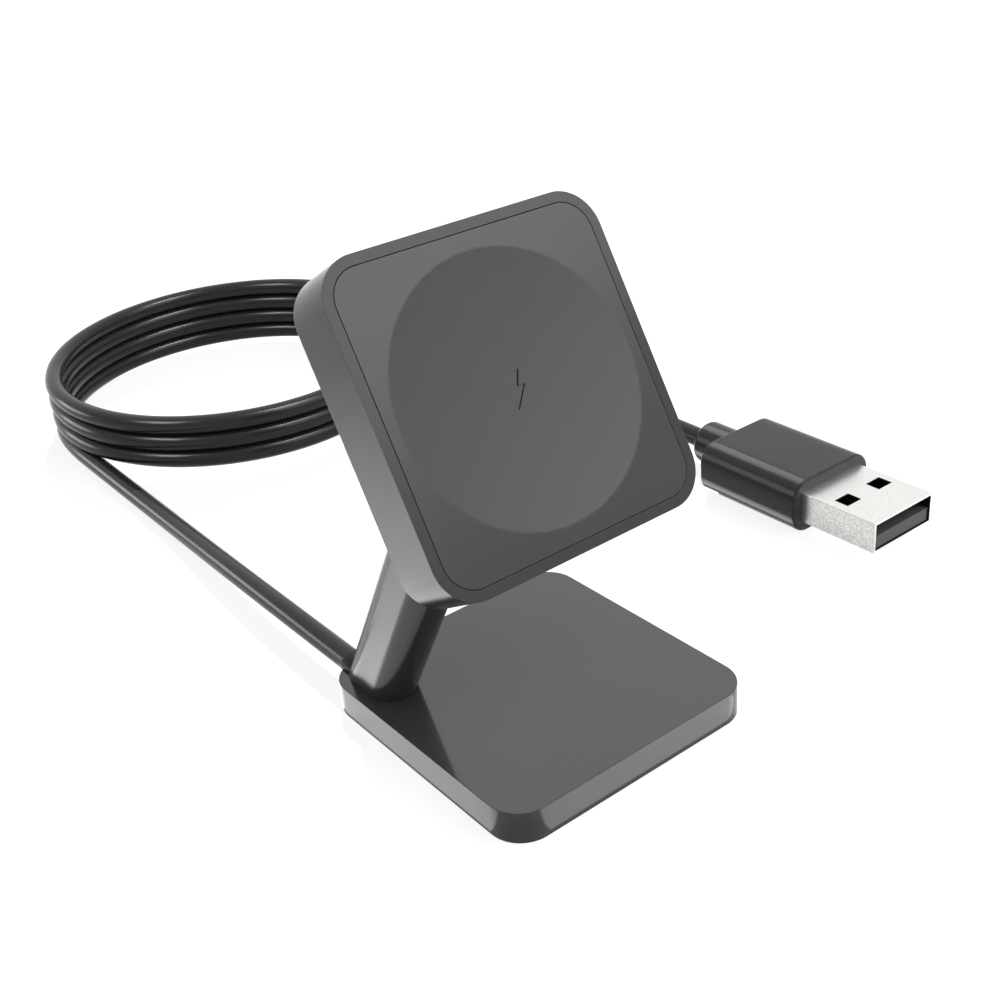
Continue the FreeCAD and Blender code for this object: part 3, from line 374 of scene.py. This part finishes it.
def neck_rings():
    """The flat-oval section carried along the leaning axis. Each point slides along the axis
    to the share of its run between the base's top plane and the head's back plane; at the
    foot the section draws in by a small round."""
    rounding = 0.10 * MM
    stations = [(0.0, rounding), (0.0015, 0.35 * rounding), (0.0035, 0.0), (0.02, 0.0)]
    stations += [(share, 0.0) for share in np.linspace(0.1, 0.9, 9)]
    stations += [(0.98, 0.0), (1.0, 0.0)]
    top_centre = NECK_FOOT + NECK_AXIS * NECK_RUN
    rings = []
    for share, inset in stations:
        width, depth = NECK_SIZE[0] - 2 * inset, NECK_SIZE[1] - 2 * inset
        flat = rounded_outline(width, depth, width / 2, steps=24, side=3)
        section = NECK_FOOT + flat[:, :1] * ACROSS + flat[:, 1:] * NECK_BACK
        low = (NECK_FOOT[2] - section[:, 2]) / NECK_AXIS[2]
        high = (top_centre - section) @ FACE_NORMAL / (NECK_AXIS @ FACE_NORMAL)
        slide = low + (high - low) * share
        rings.append(section + slide[:, None] * NECK_AXIS)
    return np.array(rings)


neck = finish_piece("neck_skin", skin_mesh("neck_skin", neck_rings()), housing, "neck")

COLLAR_PROFILE = (
    (0.01, 15.0),
    (1.62, 15.0),
    (1.65, 15.05),
    (1.65, 17.55),
    (1.60, 17.72),
    (1.50, 17.79),
    (0.01, 17.8),
)


def collar_rings(steps=48):
    """Circles round the lead's exit line, one for each (radius, y) of the profile."""
    angle = np.linspace(0, 2 * math.pi, steps, endpoint=False)
    circle = np.column_stack((np.cos(angle), np.zeros(steps), -np.sin(angle)))
    centre = np.array((LEAD_EXIT[0], 0.0, LEAD_EXIT[2]))
    return np.array(
        [centre + circle * radius * MM + (0.0, y * MM, 0.0) for radius, y in COLLAR_PROFILE]
    )


collar_rubber = moulded_material(
    "collar rubber", (0.022, 0.022, 0.0225), 0.40, depth=0.1, Specular_IOR_Level=0.15
)
collar = finish_piece(
    "lead_collar", skin_mesh("lead_collar", collar_rings()), collar_rubber, "cable_gland"
)


# Head. A moulded tray, open to the front, whose narrow rim frames the face panel. A hairline
# seam runs between the two, and a shallow round dish is moulded into the panel.

HEAD_SIZE = (35.0 * MM, 36.2 * MM)
HEAD_CORNER = 4.75 * MM
HEAD_THICKNESS = 7.5 * MM
NECK_FROM_HEAD_EDGE = 6.55 * MM
FACE_UP = np.array((0.0, math.sin(HEAD_TILT), math.cos(HEAD_TILT)))
HEAD_CENTRE = (
    np.array((0.0, NECK_FOOT[1], NECK_FOOT[2]))
    + NECK_AXIS * NECK_RUN
    + FACE_UP * (HEAD_SIZE[1] / 2 - NECK_FROM_HEAD_EDGE)
    + FACE_NORMAL * HEAD_THICKNESS
)
RIM = 1.2 * MM
SEAM = 0.08 * MM
SEAM_DEPTH = 1.75 * MM
LEDGE = 1.0 * MM
BACK_WALL = 1.2 * MM
DISH_RADIUS = 15.0 * MM
DISH_DEPTH = 0.8 * MM


def tilt_to_head(points):
    """Head coordinates (across, up the face, out of the face) to the object's own."""
    return (
        HEAD_CENTRE
        + points[..., :1] * ACROSS
        + points[..., 1:2] * FACE_UP
        + points[..., 2:] * FACE_NORMAL
    )


back_round = 0.30 * MM
face_round = 0.02 * MM
lip = 0.012 * MM
head_profile = [
    (back_round + 0.1 * MM, -HEAD_THICKNESS),
    *quarter_round(back_round, back_round - HEAD_THICKNESS, back_round, -90, 0),
    (0.0, back_round - HEAD_THICKNESS + 0.08 * MM),
    (0.0, -face_round - 0.05 * MM),
    *quarter_round(face_round, -face_round, face_round, 0, 90),
    (face_round + 0.05 * MM, 0.0),
    (RIM - lip - 0.03 * MM, 0.0),
    (RIM - lip, 0.0),
    (RIM - 0.3 * lip, -0.3 * lip),
    (RIM, -lip),
    (RIM, -SEAM_DEPTH),
    (RIM + LEDGE, -SEAM_DEPTH),
    (RIM + LEDGE, BACK_WALL - HEAD_THICKNESS),
]
head_rings = tilt_to_head(profile_rings(head_profile, *HEAD_SIZE, HEAD_CORNER))
head = finish_piece(
    "head_shell_skin", skin_mesh("head_shell_skin", head_rings), housing, "head_shell"
)


def dish_floor(radius):
    """Height of the dish at a distance from its middle: the lowest part of a ball that the
    dish's edge circle lies on."""
    ball = (DISH_RADIUS**2 + DISH_DEPTH**2) / (2 * DISH_DEPTH)
    return ball - DISH_DEPTH - np.sqrt(ball**2 - np.minimum(radius, DISH_RADIUS) ** 2)


PANEL_SIZE = (HEAD_SIZE[0] - 2 * (RIM + SEAM), HEAD_SIZE[1] - 2 * (RIM + SEAM))
PANEL_CORNER = HEAD_CORNER - RIM - SEAM
PANEL_THICKNESS = 1.6 * MM
SIGN_PATCH = 3.0 * MM
SIGN_DEPTH = 0.17 * MM
NET_CIRCLES = ((2.5 * MM, 36), (2.2 * MM, 24))
SIGN_OUTLINE = [
    (0.37, 1.92),
    (-1.15, -0.32),
    (-0.36, -0.43),
    (-1.17, -1.88),
    (-0.65, -2.01),
    (1.17, 0.29),
    (0.30, 0.33),
    (1.05, 1.93),
]


def panel_rings():
    """Rings from the panel's back over its edge and flat face to the dish. On the flat face
    the outline turns into the dish's circle point by point; below it the circles shrink and
    follow the sphere down to the patch that holds the sign."""
    edge = 0.012 * MM
    profile = [
        (0.0, -PANEL_THICKNESS),
        (0.0, -edge - 0.05 * MM),
        (0.0, -edge),
        (0.3 * edge, -0.3 * edge),
        (edge, 0.0),
        (edge + 0.06 * MM, 0.0),
    ]
    outer = profile_rings(profile, *PANEL_SIZE, PANEL_CORNER)
    direction = np.arctan2(outer[-1][:, 1], outer[-1][:, 0])
    circle = np.column_stack((np.cos(direction), np.sin(direction)))
    soft = 0.06 * MM
    radii = [DISH_RADIUS + soft + 0.05 * MM, DISH_RADIUS + soft, DISH_RADIUS]
    radii += [DISH_RADIUS - soft, DISH_RADIUS - soft - 0.06 * MM]
    heights = [0.0, 0.0, -0.12 * soft]
    heights += [float(dish_floor(radii[3])), float(dish_floor(radii[4]))]
    for radius in np.linspace(DISH_RADIUS - 0.8 * MM, SIGN_PATCH, 16):
        radii.append(radius)
        heights.append(float(dish_floor(radius)))
    inner = [
        np.column_stack((circle * radius, np.full(len(circle), height)))
        for radius, height in zip(radii, heights)
    ]
    return np.concatenate((outer, np.array(inner)))


def sign_patch(rim):
    """The middle of the dish inside the ring rim: a triangle net that keeps the sign's
    outline as edges and has loose points on the net's circles. What lies inside the outline
    is one sign depth lower, and upright walls join the two levels."""
    outline = np.array(SIGN_OUTLINE) * MM
    start = len(rim)
    loose = [
        (radius * math.cos(angle), radius * math.sin(angle))
        for radius, count in NET_CIRCLES
        for angle in np.linspace(0, 2 * math.pi, count, endpoint=False)
    ]
    points = [Vector(p[:2]) for p in rim] + [Vector(p) for p in outline]
    points += [Vector(p) for p in loose]
    edges = [(i, (i + 1) % start) for i in range(start)]
    count = len(outline)
    edges += [(start + i, start + (i + 1) % count) for i in range(count)]
    flat, _, faces, _, _, _ = delaunay_2d_cdt(points, edges, [], 1, 1e-9)
    flat = np.array([tuple(p) for p in flat])
    faces = np.array(faces)
    place = {tuple(np.round(flat[i], 9)): i for i in range(len(flat))}
    corner = [place[min(place, key=lambda q: math.dist(q, p))] for p in outline.tolist()]
    middle = flat[faces].mean(axis=1)
    following = np.roll(outline, -1, axis=0)
    above = (outline[None, :, 1] > middle[:, None, 1]) != (
        following[None, :, 1] > middle[:, None, 1]
    )
    cross = outline[None, :, 0] + (middle[:, None, 1] - outline[None, :, 1]) * (
        following[None, :, 0] - outline[None, :, 0]
    ) / (following[None, :, 1] - outline[None, :, 1])
    inside = ((above & (middle[:, None, 0] < cross)).sum(axis=1) % 2).astype(bool)
    height = dish_floor(np.hypot(flat[:, 0], flat[:, 1]))
    surface = np.column_stack((flat, height))
    sunk = surface - np.array((0.0, 0.0, SIGN_DEPTH))
    level = len(surface)
    low = faces[inside] + level
    wall = []
    for i in range(count):
        a, b = corner[i], corner[(i + 1) % count]
        wall.append([a, b, b + level, a + level])
    return np.concatenate((surface, sunk)), faces[~inside].tolist() + low.tolist() + wall


def face_outward(work, mesh):
    """Turns the faces of the working mesh outward and writes it to the mesh."""
    bmesh.ops.recalc_face_normals(work, faces=work.faces)
    work.to_mesh(mesh)
    work.free()
    return mesh


def face_facts(mesh):
    """The normals and the middles of a mesh's faces, each as an array (face, xyz)."""
    facts = []
    for fact in ("normal", "center"):
        values = np.empty(3 * len(mesh.polygons))
        mesh.polygons.foreach_get(fact, values)
        facts.append(values.reshape(-1, 3))
    return facts


rings = panel_rings()
patch_points, patch_faces = sign_patch(rings[-1])
body_mesh = skin_mesh("panel_body", tilt_to_head(rings), caps=(True, False))
patch_mesh = bpy.data.meshes.new("panel_patch")
patch_mesh.from_pydata(tilt_to_head(patch_points).tolist(), [], patch_faces)
joined = bmesh.new()
joined.from_mesh(body_mesh)
joined.from_mesh(patch_mesh)
bmesh.ops.remove_doubles(joined, verts=joined.verts, dist=0.0002 * MM)
loose_points = [vertex for vertex in joined.verts if not vertex.link_faces]
bmesh.ops.delete(joined, geom=loose_points, context="VERTS")
panel_mesh = face_outward(joined, bpy.data.meshes.new("face_panel_skin"))
bpy.data.meshes.remove(body_mesh)
bpy.data.meshes.remove(patch_mesh)
panel_grey = moulded_material("panel grey", HOUSING_GREY, 0.25, Specular_IOR_Level=0.40)
finish_piece("face_panel_skin", panel_mesh, panel_grey, "face_panel")

# The sign's upright walls take a near-black material: painted shade along the edges of the sunk
# sign.
panel_mesh.materials.append(
    moulded_material("sign wall", (0.006, 0.006, 0.006), 0.6, Specular_IOR_Level=0.1)
)
facing, middles = face_facts(panel_mesh)
upright = np.abs(facing @ FACE_NORMAL) < 0.5
central = np.linalg.norm(middles - HEAD_CENTRE, axis=1) < SIGN_PATCH
panel_mesh.polygons.foreach_set("material_index", (upright & central).astype(np.int32))


# Charger. What sits behind the face: adhesive frame, copper winding, magnet, ferrite, and a
# board with its parts, and the steel strips and screws that hold the neck at both ends.

dress(moulded_material("adhesive foam", (0.02, 0.02, 0.02), 0.9, depth=0.5), "panel_tape")


def turned_surface_group():
    """Fine parallel lines across one direction, for wire or turned metal: a band wave is the
    height, and the colour carries painted shade: three quarters in its furrows and full on
    its ridges."""
    group, enter, leave = shader_group(
        "turned surface",
        [
            ("Colour", "NodeSocketColor", (0.5, 0.5, 0.5, 1.0)),
            ("Lines per metre", "NodeSocketFloat", 4000.0),
        ],
        [("Colour", "NodeSocketColor"), ("Normal", "NodeSocketVector")],
    )
    make, link = group.nodes.new, group.links.new
    place = make("ShaderNodeTexCoord")
    wave = make("ShaderNodeTexWave")
    wave.inputs["Distortion"].default_value = 0.6
    link(place.outputs["Object"], wave.inputs["Vector"])
    link(enter.outputs["Lines per metre"], wave.inputs["Scale"])
    # Painted shade: the colour falls to three quarters in the wave's furrows.
    shade = make("ShaderNodeMath")
    shade.operation = "MULTIPLY_ADD"
    shade.inputs[1].default_value = 0.25
    shade.inputs[2].default_value = 0.75
    link(wave.outputs["Fac"], shade.inputs[0])
    tint = make("ShaderNodeVectorMath")
    tint.operation = "SCALE"
    link(enter.outputs["Colour"], tint.inputs[0])
    link(shade.outputs[0], tint.inputs["Scale"])
    link(tint.outputs[0], leave.inputs["Colour"])
    bump = make("ShaderNodeBump")
    bump.inputs["Strength"].default_value = 0.3
    bump.inputs["Distance"].default_value = 0.03 * MM
    link(wave.outputs["Fac"], bump.inputs["Height"])
    link(bump.outputs["Normal"], leave.inputs["Normal"])
    return group


TURNED = turned_surface_group()


def turned_material(name, colour, lines_per_metre, roughness):
    """Metal with the fine lines of a drawn, wound, rolled or turned surface."""
    settings = {"Colour": (*colour, 1.0), "Lines per metre": lines_per_metre}
    return grouped_material(name, TURNED, settings, Metallic=1.0, Roughness=roughness)


dress(turned_material("copper winding", (0.72, 0.36, 0.2), 2000.0, 0.3), "charging_coil")
dress(turned_material("nickel plate", (0.62, 0.61, 0.58), 6000.0, 0.22), "alignment_magnet")
dress(
    turned_material("rolled steel", (0.5, 0.5, 0.51), 4000.0, 0.35),
    "base_weight",
    "neck_foot_clamp",
    "neck_head_clamp",
)
dress(
    turned_material("plated screw", (0.42, 0.42, 0.43), 7000.0, 0.28),
    "base_screws",
    "neck_foot_screws",
    "neck_head_screws",
    "board_screws",
)
dress(moulded_material("ferrite", (0.05, 0.05, 0.055), 0.6, depth=0.5), "ferrite_disc")
dress(moulded_material("board green", (0.02, 0.15, 0.07), 0.35, depth=0.1), "circuit_board")
dress(moulded_material("chip black", (0.02, 0.02, 0.02), 0.5, depth=0.3), "control_chip")
dress(moulded_material("capacitor tan", (0.42, 0.31, 0.2), 0.45), "board_capacitors")
dress(moulded_material("wire red", (0.38, 0.05, 0.04), 0.4), "neck_wires")


# Plug. A soft moulded grip with rounded long edges and a round boot behind, over a stamped
# steel shell with latch windows, a dark tongue and gilt contacts.

PLUG_CENTRE = (57.5 * MM, 4.0 * MM)
GRIP_SIZE = (15.6 * MM, 8.0 * MM)
GRIP_CORNER = 3.1 * MM
GRIP_FRONT = 4.5 * MM
GRIP_BACK = 22.2 * MM
BOOT_RADIUS = 3.2 * MM
BOOT_BACK = 28.3 * MM
SHELL_SIZE = (12.0 * MM, 4.5 * MM)
SHELL_CORNER = 0.12 * MM
SHELL_INNER_CORNER = 0.05 * MM
SHELL_WALL = 0.3 * MM
SHELL_FRONT = -7.7 * MM
SHELL_BACK = 11.0 * MM
WINDOW_SIDES = (1.85 * MM, 4.65 * MM)
WINDOW_ENDS = (-2.125 * MM, 0.125 * MM)


def grip_rings():
    """Sections across the plug, from the rim round the shell forward face, back along the
    grip, down its rear face to the boot, and along the boot to the lead. The boot's circles
    take the grip's points by direction, with the heights stretched to spread them evenly."""
    edge = 0.30 * MM
    back_edge = 0.35 * MM
    end_round = 0.7 * MM
    stretch = 1.6
    mouth = [(0.0, GRIP_FRONT + 2.0 * MM), (0.0, GRIP_FRONT)]
    side = [(edge + 0.1 * MM, GRIP_FRONT)]
    side += [(i, GRIP_FRONT + edge - h) for i, h in quarter_round(edge, 0.0, edge, 90, 0, 6)]
    side += [(0.0, GRIP_FRONT + edge + 0.1 * MM), (0.0, GRIP_BACK - back_edge - 0.1 * MM)]
    side += [
        (i, GRIP_BACK - back_edge + h)
        for i, h in quarter_round(back_edge, 0.0, back_edge, 0, 90, 6)
    ]
    side += [(back_edge + 0.1 * MM, GRIP_BACK)]
    sections = [
        *profile_rings(mouth, *SHELL_SIZE, SHELL_CORNER),
        *profile_rings(side, *GRIP_SIZE, GRIP_CORNER),
    ]
    around = np.arctan2(sections[-1][:, 1] * stretch, sections[-1][:, 0])
    circle = np.column_stack((np.cos(around), np.sin(around)))
    boot = [(BOOT_RADIUS + 0.15 * MM, GRIP_BACK), (BOOT_RADIUS, GRIP_BACK + 0.12 * MM)]
    boot += [(BOOT_RADIUS, GRIP_BACK + 0.3 * MM), (BOOT_RADIUS, BOOT_BACK - 0.8 * MM)]
    boot += [
        (BOOT_RADIUS - end_round * (1 - math.cos(a)), BOOT_BACK - end_round * (1 - math.sin(a)))
        for a in np.radians(np.linspace(0, 90, 6))
    ]
    boot.append((1.5 * MM, BOOT_BACK))
    for radius, y in boot:
        sections.append(np.column_stack((circle * radius, np.full(len(circle), y))))
    rings = np.array(sections)
    return np.stack(
        (PLUG_CENTRE[0] + rings[..., 0], rings[..., 2], PLUG_CENTRE[1] + rings[..., 1]), -1
    )


grip_mesh = skin_mesh("plug_grip", grip_rings())
grip_work = bmesh.new()
grip_work.from_mesh(grip_mesh)
face_outward(grip_work, grip_mesh)
grip_rubber = moulded_material(
    "grip rubber",
    (0.030, 0.030, 0.0305),
    0.20,
    grain=7000.0,
    depth=0.08,
    Specular_IOR_Level=0.20,
)
grip = finish_piece("plug_grip", grip_mesh, grip_rubber, "plug_body")


def shell_ring(inset, corner, y):
    """The shell's section at y less an inset: a rounded rectangle whose top side also has the
    four points at which the windows begin and end."""
    width, depth = SHELL_SIZE[0] - 2 * inset, SHELL_SIZE[1] - 2 * inset
    flat = rounded_outline(width, depth, corner, steps=4, side=0)
    near, far = WINDOW_SIDES
    top = [(x, depth / 2) for x in (far, near, -near, -far)]
    flat = np.concatenate((flat[:5], top, flat[5:])) + PLUG_CENTRE
    return np.insert(flat, 1, y, axis=1)


def shell_mesh():
    """A stamped tube: the outer section at four places from back to front, and the inner one
    at the same places back again. A window is a face left out of both, with four walls: it
    lies between the middle places, from a window point to the point after it."""
    places = (SHELL_BACK, WINDOW_ENDS[1], WINDOW_ENDS[0], SHELL_FRONT)
    window_points = (5, 7)
    rings = [shell_ring(0.0, SHELL_CORNER, y) for y in places]
    rings += [shell_ring(SHELL_WALL, SHELL_INNER_CORNER, y) for y in reversed(places)]
    rings = np.array(rings)
    width = rings.shape[1]
    mesh = skin_mesh("plug_shell_skin", rings, caps=(False, False), closed=True)
    work = bmesh.new()
    work.from_mesh(mesh)
    work.verts.ensure_lookup_table()
    work.faces.ensure_lookup_table()
    left_out = [work.faces[ring * width + p] for ring in (1, 5) for p in window_points]
    bmesh.ops.delete(work, geom=left_out, context="FACES_ONLY")
    for p in window_points:
        outer = [ring * width + q for ring, q in ((1, p), (1, p + 1), (2, p + 1), (2, p))]
        inner = [ring * width + q for ring, q in ((6, p), (6, p + 1), (5, p + 1), (5, p))]
        for i in range(4):
            after = (i + 1) % 4
            wall = (outer[i], outer[after], inner[after], inner[i])
            work.faces.new([work.verts[number] for number in wall])
    return face_outward(work, mesh)


def stamped_surface_group():
    """Stamped steel: a fine noise is the height, and from a quarter to three quarters of its
    range it runs the colour from dark to light."""
    group, enter, leave = shader_group(
        "stamped surface",
        [
            ("Dark", "NodeSocketColor", (0.5, 0.5, 0.5, 1.0)),
            ("Light", "NodeSocketColor", (0.9, 0.9, 0.9, 1.0)),
        ],
        [("Colour", "NodeSocketColor"), ("Normal", "NodeSocketVector")],
    )
    make, link = group.nodes.new, group.links.new
    place = make("ShaderNodeTexCoord")
    speckle = make("ShaderNodeTexNoise")
    speckle.inputs["Scale"].default_value = 4200.0
    speckle.inputs["Detail"].default_value = 2.0
    link(place.outputs["Object"], speckle.inputs["Vector"])
    spread = make("ShaderNodeMapRange")
    spread.inputs["From Min"].default_value = 0.25
    spread.inputs["From Max"].default_value = 0.75
    link(speckle.outputs["Fac"], spread.inputs["Value"])
    lightness = make("ShaderNodeMix")
    lightness.data_type = "RGBA"
    factor, dark, light = (lightness.inputs[number] for number in (0, 6, 7))
    link(spread.outputs["Result"], factor)
    link(enter.outputs["Dark"], dark)
    link(enter.outputs["Light"], light)
    link(lightness.outputs[2], leave.inputs["Colour"])
    bump = make("ShaderNodeBump")
    bump.inputs["Strength"].default_value = 0.25
    bump.inputs["Distance"].default_value = 0.03 * MM
    link(speckle.outputs["Fac"], bump.inputs["Height"])
    link(bump.outputs["Normal"], leave.inputs["Normal"])
    return group


STAMPED = stamped_surface_group()


def stamped_steel(name, dark, light):
    """Bare stamped steel, speckled between two tones."""
    settings = {"Dark": (*dark, 1.0), "Light": (*light, 1.0)}
    return grouped_material(name, STAMPED, settings, Metallic=1.0, Roughness=0.34)


tube = shell_mesh()
top_steel = stamped_steel("shell steel", (0.79, 0.78, 0.76), (0.96, 0.96, 0.94))
shell = finish_piece("plug_shell_skin", tube, top_steel, "plug_shell")
# The shell's sides take a darker copy of the same steel: painted shade on the sides, while the
# top and ends keep the lighter copy.
tube.materials.append(
    stamped_steel("shell side steel", (0.40, 0.395, 0.385), (0.78, 0.78, 0.76))
)
# The inside of the tube takes a near-black material: painted shade in the shell's hollow.
tube.materials.append(
    moulded_material("shell inside", (0.012, 0.012, 0.012), 0.6, Specular_IOR_Level=0.1)
)
facing, middles = face_facts(tube)
middles -= (PLUG_CENTRE[0], SHELL_FRONT, PLUG_CENTRE[1])
# Faces inside the tube get the near-black painted-shade material.
shaded_inside = (
    (np.abs(middles[:, 0]) < SHELL_SIZE[0] / 2 - SHELL_WALL / 3)
    & (np.abs(middles[:, 2]) < SHELL_SIZE[1] / 2 - SHELL_WALL / 3)
    & (middles[:, 1] > SHELL_WALL / 3)
)
# Faces that look sideways get the darker painted-shade copy.
shaded_sides = np.abs(facing[:, 0]) > 0.8
tube.polygons.foreach_set(
    "material_index", np.where(shaded_inside, 2, np.where(shaded_sides, 1, 0)).astype(np.int32)
)

dress(
    moulded_material("tongue black", (0.08, 0.08, 0.084), 0.5, Specular_IOR_Level=0.1),
    "plug_tongue",
)
dress(turned_material("gilt contact", (0.83, 0.62, 0.28), 3000.0, 0.25), "plug_contacts")


# Studio. A plain white floor that keeps the object's faint shadow, a sun from above and behind,
# and soft lamps. A lamp that names pieces in only is flagged off from all others: it stands
# where they mirror it towards the camera, as a white card beside them would.

FLOOR_REACH = 2.0

floor_mesh = bpy.data.meshes.new("floor")
floor_corners = [
    (x * FLOOR_REACH, y * FLOOR_REACH, 0.0) for x, y in ((-1, -1), (1, -1), (1, 1), (-1, 1))
]
floor_mesh.from_pydata(floor_corners, [], [(0, 1, 2, 3)])
floor = bpy.data.objects.new("floor", floor_mesh)
scene.collection.objects.link(floor)


def seen_background(tree):
    """1 for camera, glossy and transmission rays, 0 for the rays that carry light."""
    path = tree.nodes.new("ShaderNodeLightPath")
    first = tree.nodes.new("ShaderNodeMath")
    first.operation = "ADD"
    second = tree.nodes.new("ShaderNodeMath")
    second.operation = "ADD"
    second.use_clamp = True
    tree.links.new(path.outputs["Is Camera Ray"], first.inputs[0])
    tree.links.new(path.outputs["Is Glossy Ray"], first.inputs[1])
    tree.links.new(first.outputs[0], second.inputs[0])
    tree.links.new(path.outputs["Is Transmission Ray"], second.inputs[1])
    return second.outputs[0]


FLOOR_GLOW = 0.87
FLOOR_PAINT = 0.30
FLOOR_BOUNCE = 0.15
WORLD_LIGHT = 0.30

floor_paint = bpy.data.materials.new("floor white")
floor_paint.use_nodes = True
tree = floor_paint.node_tree
tree.nodes.clear()
seen = seen_background(tree)
glow = tree.nodes.new("ShaderNodeEmission")
glow.inputs["Strength"].default_value = FLOOR_GLOW
paint = tree.nodes.new("ShaderNodeBsdfDiffuse")
paint.inputs["Color"].default_value = (FLOOR_PAINT, FLOOR_PAINT, FLOOR_PAINT, 1.0)
both = tree.nodes.new("ShaderNodeAddShader")
plain = tree.nodes.new("ShaderNodeBsdfDiffuse")
plain.inputs["Color"].default_value = (FLOOR_BOUNCE, FLOOR_BOUNCE, FLOOR_BOUNCE, 1.0)
choose = tree.nodes.new("ShaderNodeMixShader")
out = tree.nodes.new("ShaderNodeOutputMaterial")
tree.links.new(glow.outputs[0], both.inputs[0])
tree.links.new(paint.outputs[0], both.inputs[1])
tree.links.new(seen, choose.inputs[0])
tree.links.new(plain.outputs[0], choose.inputs[1])
tree.links.new(both.outputs[0], choose.inputs[2])
tree.links.new(choose.outputs[0], out.inputs["Surface"])
floor_mesh.materials.append(floor_paint)

world = bpy.data.worlds.new("studio")
scene.world = world
world.use_nodes = True
tree = world.node_tree
background = tree.nodes["Background"]
background.inputs["Color"].default_value = (1.0, 1.0, 1.0, 1.0)
level = tree.nodes.new("ShaderNodeMapRange")
level.inputs["To Min"].default_value = WORLD_LIGHT
level.inputs["To Max"].default_value = 1.0
tree.links.new(seen_background(tree), level.inputs["Value"])
tree.links.new(level.outputs["Result"], background.inputs["Strength"])


def soft_lamp(name, place, aim, size, radiance, only=()):
    """A rectangular soft lamp: its power is radiance x pi x area. Where pieces are given in
    only, it is flagged off from all others, and these mirror it without being lit by it."""
    data = bpy.data.lights.new(name, "AREA")
    data.shape = "RECTANGLE"
    data.size, data.size_y = size
    data.energy = radiance * math.pi * size[0] * size[1]
    lamp = bpy.data.objects.new(name, data)
    lamp.location = place
    direction = Vector(aim) - Vector(place)
    lamp.rotation_euler = direction.to_track_quat("-Z", "Y").to_euler()
    lamp.visible_camera = False
    scene.collection.objects.link(lamp)
    if only:
        lamp.visible_diffuse = False
        lit = bpy.data.collections.new(name)
        for piece in only:
            lit.objects.link(piece)
        lamp.light_linking.receiver_collection = lit
    return lamp


key_data = bpy.data.lights.new("key lamp", "SUN")
key_data.energy = 3.8
key_data.angle = math.radians(1.5)
key = bpy.data.objects.new("key lamp", key_data)
key.visible_glossy = False
key.rotation_euler = Vector((-0.40, -0.58, -0.71)).to_track_quat("-Z", "Y").to_euler()
scene.collection.objects.link(key)

soft_lamp("front lamp", (0.20, -0.30, 0.40), (0.0, 0.0, 0.03), (0.35, 0.34), 2.9)
plug_front = soft_lamp(
    "plug front lamp",
    (0.235, -0.18, 0.035),
    (0.0575, 0.0045, 0.007),
    (0.16, 0.06),
    26.0,
    only=[grip, nodes["plug_tongue"]],
)
# The other way round: it lights the grip's and tongue's fronts and isn't mirrored.
plug_front.visible_diffuse = True
plug_front.visible_glossy = False


def table_lamp(name, corner, size, radiance, turned=0.0, only=()):
    """A soft lamp that lies on the floor and shines upwards: a rectangle from its corner
    (x, y), turned about it by an angle in degrees."""
    angle = math.radians(turned)
    across = Vector((math.cos(angle), math.sin(angle), 0.0))
    along = Vector((-math.sin(angle), math.cos(angle), 0.0))
    middle = Vector((*corner, 0.0002)) + across * size[0] / 2 + along * size[1] / 2
    lamp = soft_lamp(name, middle, middle + Vector((0.0, 0.0, 1.0)), size, radiance, only)
    lamp.rotation_euler = (math.pi, 0.0, angle)


# Strips side by side on the floor to the left, dimmer with distance: (near, far, start, end)
# in mm, counted away from the base and along the strips, and the radiance.
LEFT_CORNER = Vector((-0.016, 0.012))
LEFT_ALONG = Vector((-0.873, 0.487))
LEFT_AWAY = Vector((0.487, 0.873))
LEFT_STRIPS = (
    (0.0, 4.0, 1.5, 45.0, 2.9),
    (4.0, 9.0, 5.0, 50.0, 2.4),
    (9.0, 15.0, 18.0, 60.0, 2.0),
    (15.0, 22.0, 26.0, 65.0, 1.65),
    (22.0, 30.0, 34.0, 75.0, 1.35),
    (30.0, 39.0, 44.0, 85.0, 0.9),
    (39.0, 50.0, 55.0, 100.0, 0.45),
)
for number, (near, far, start, end, radiance) in enumerate(LEFT_STRIPS, start=1):
    table_lamp(
        f"left table lamp {number}",
        LEFT_CORNER + LEFT_ALONG * end * MM + LEFT_AWAY * near * MM,
        ((end - start) * MM, (far - near) * MM),
        radiance,
        turned=-29.16,
        only=[neck, head, lead, collar],
    )

for name, corner, size, radiance, piece in (
    ("side table lamp", (-0.0235, -0.0133), (0.0060, 0.0285), 2.1, base_cover),
    ("rear table lamp", (-0.0235, 0.0152), (0.0095, 0.0090), 2.0, base_cover),
    ("front table lamp", (-0.0125, -0.0360), (0.0310, 0.0178), 2.6, base_cover),
    ("corner table lamp", (-0.0440, 0.0020), (0.0340, 0.0300), 1.8, head),
    ("plug table lamp", (0.0470, 0.0040), (0.0024, 0.0260), 5.0, grip),
    ("boot table lamp", (0.0505, 0.0200), (0.0028, 0.0130), 5.0, grip),
):
    table_lamp(name, corner, size, radiance, only=[piece])

for name, place, aim, size, radiance, piece in (
    ("plug lamp", (0.2675, 0.5935, 0.798), (0.0575, 0.0135, 0.008), (0.50, 0.40), 4.8, grip),
    ("plug side lamp", (-0.312, 0.303, 0.183), (0.0575, 0.0135, 0.008), (0.20, 0.16), 2.9, grip),
    ("coil front lamp", (-0.375, 0.059, 0.476), (-0.003, 0.085, 0.010), (0.20, 0.20), 17.0, lead),
    ("coil rear lamp", (0.147, -0.1185, 0.537), (0.021, 0.1335, 0.010), (0.20, 0.20), 20.0, lead),
    ("lead lamp", (-0.22, 0.33, 0.045), (-0.012, 0.050, 0.003), (0.16, 0.10), 7.0, lead),
):
    soft_lamp(name, place, aim, size, radiance, only=[piece])

scene.view_settings.view_transform = "Standard"
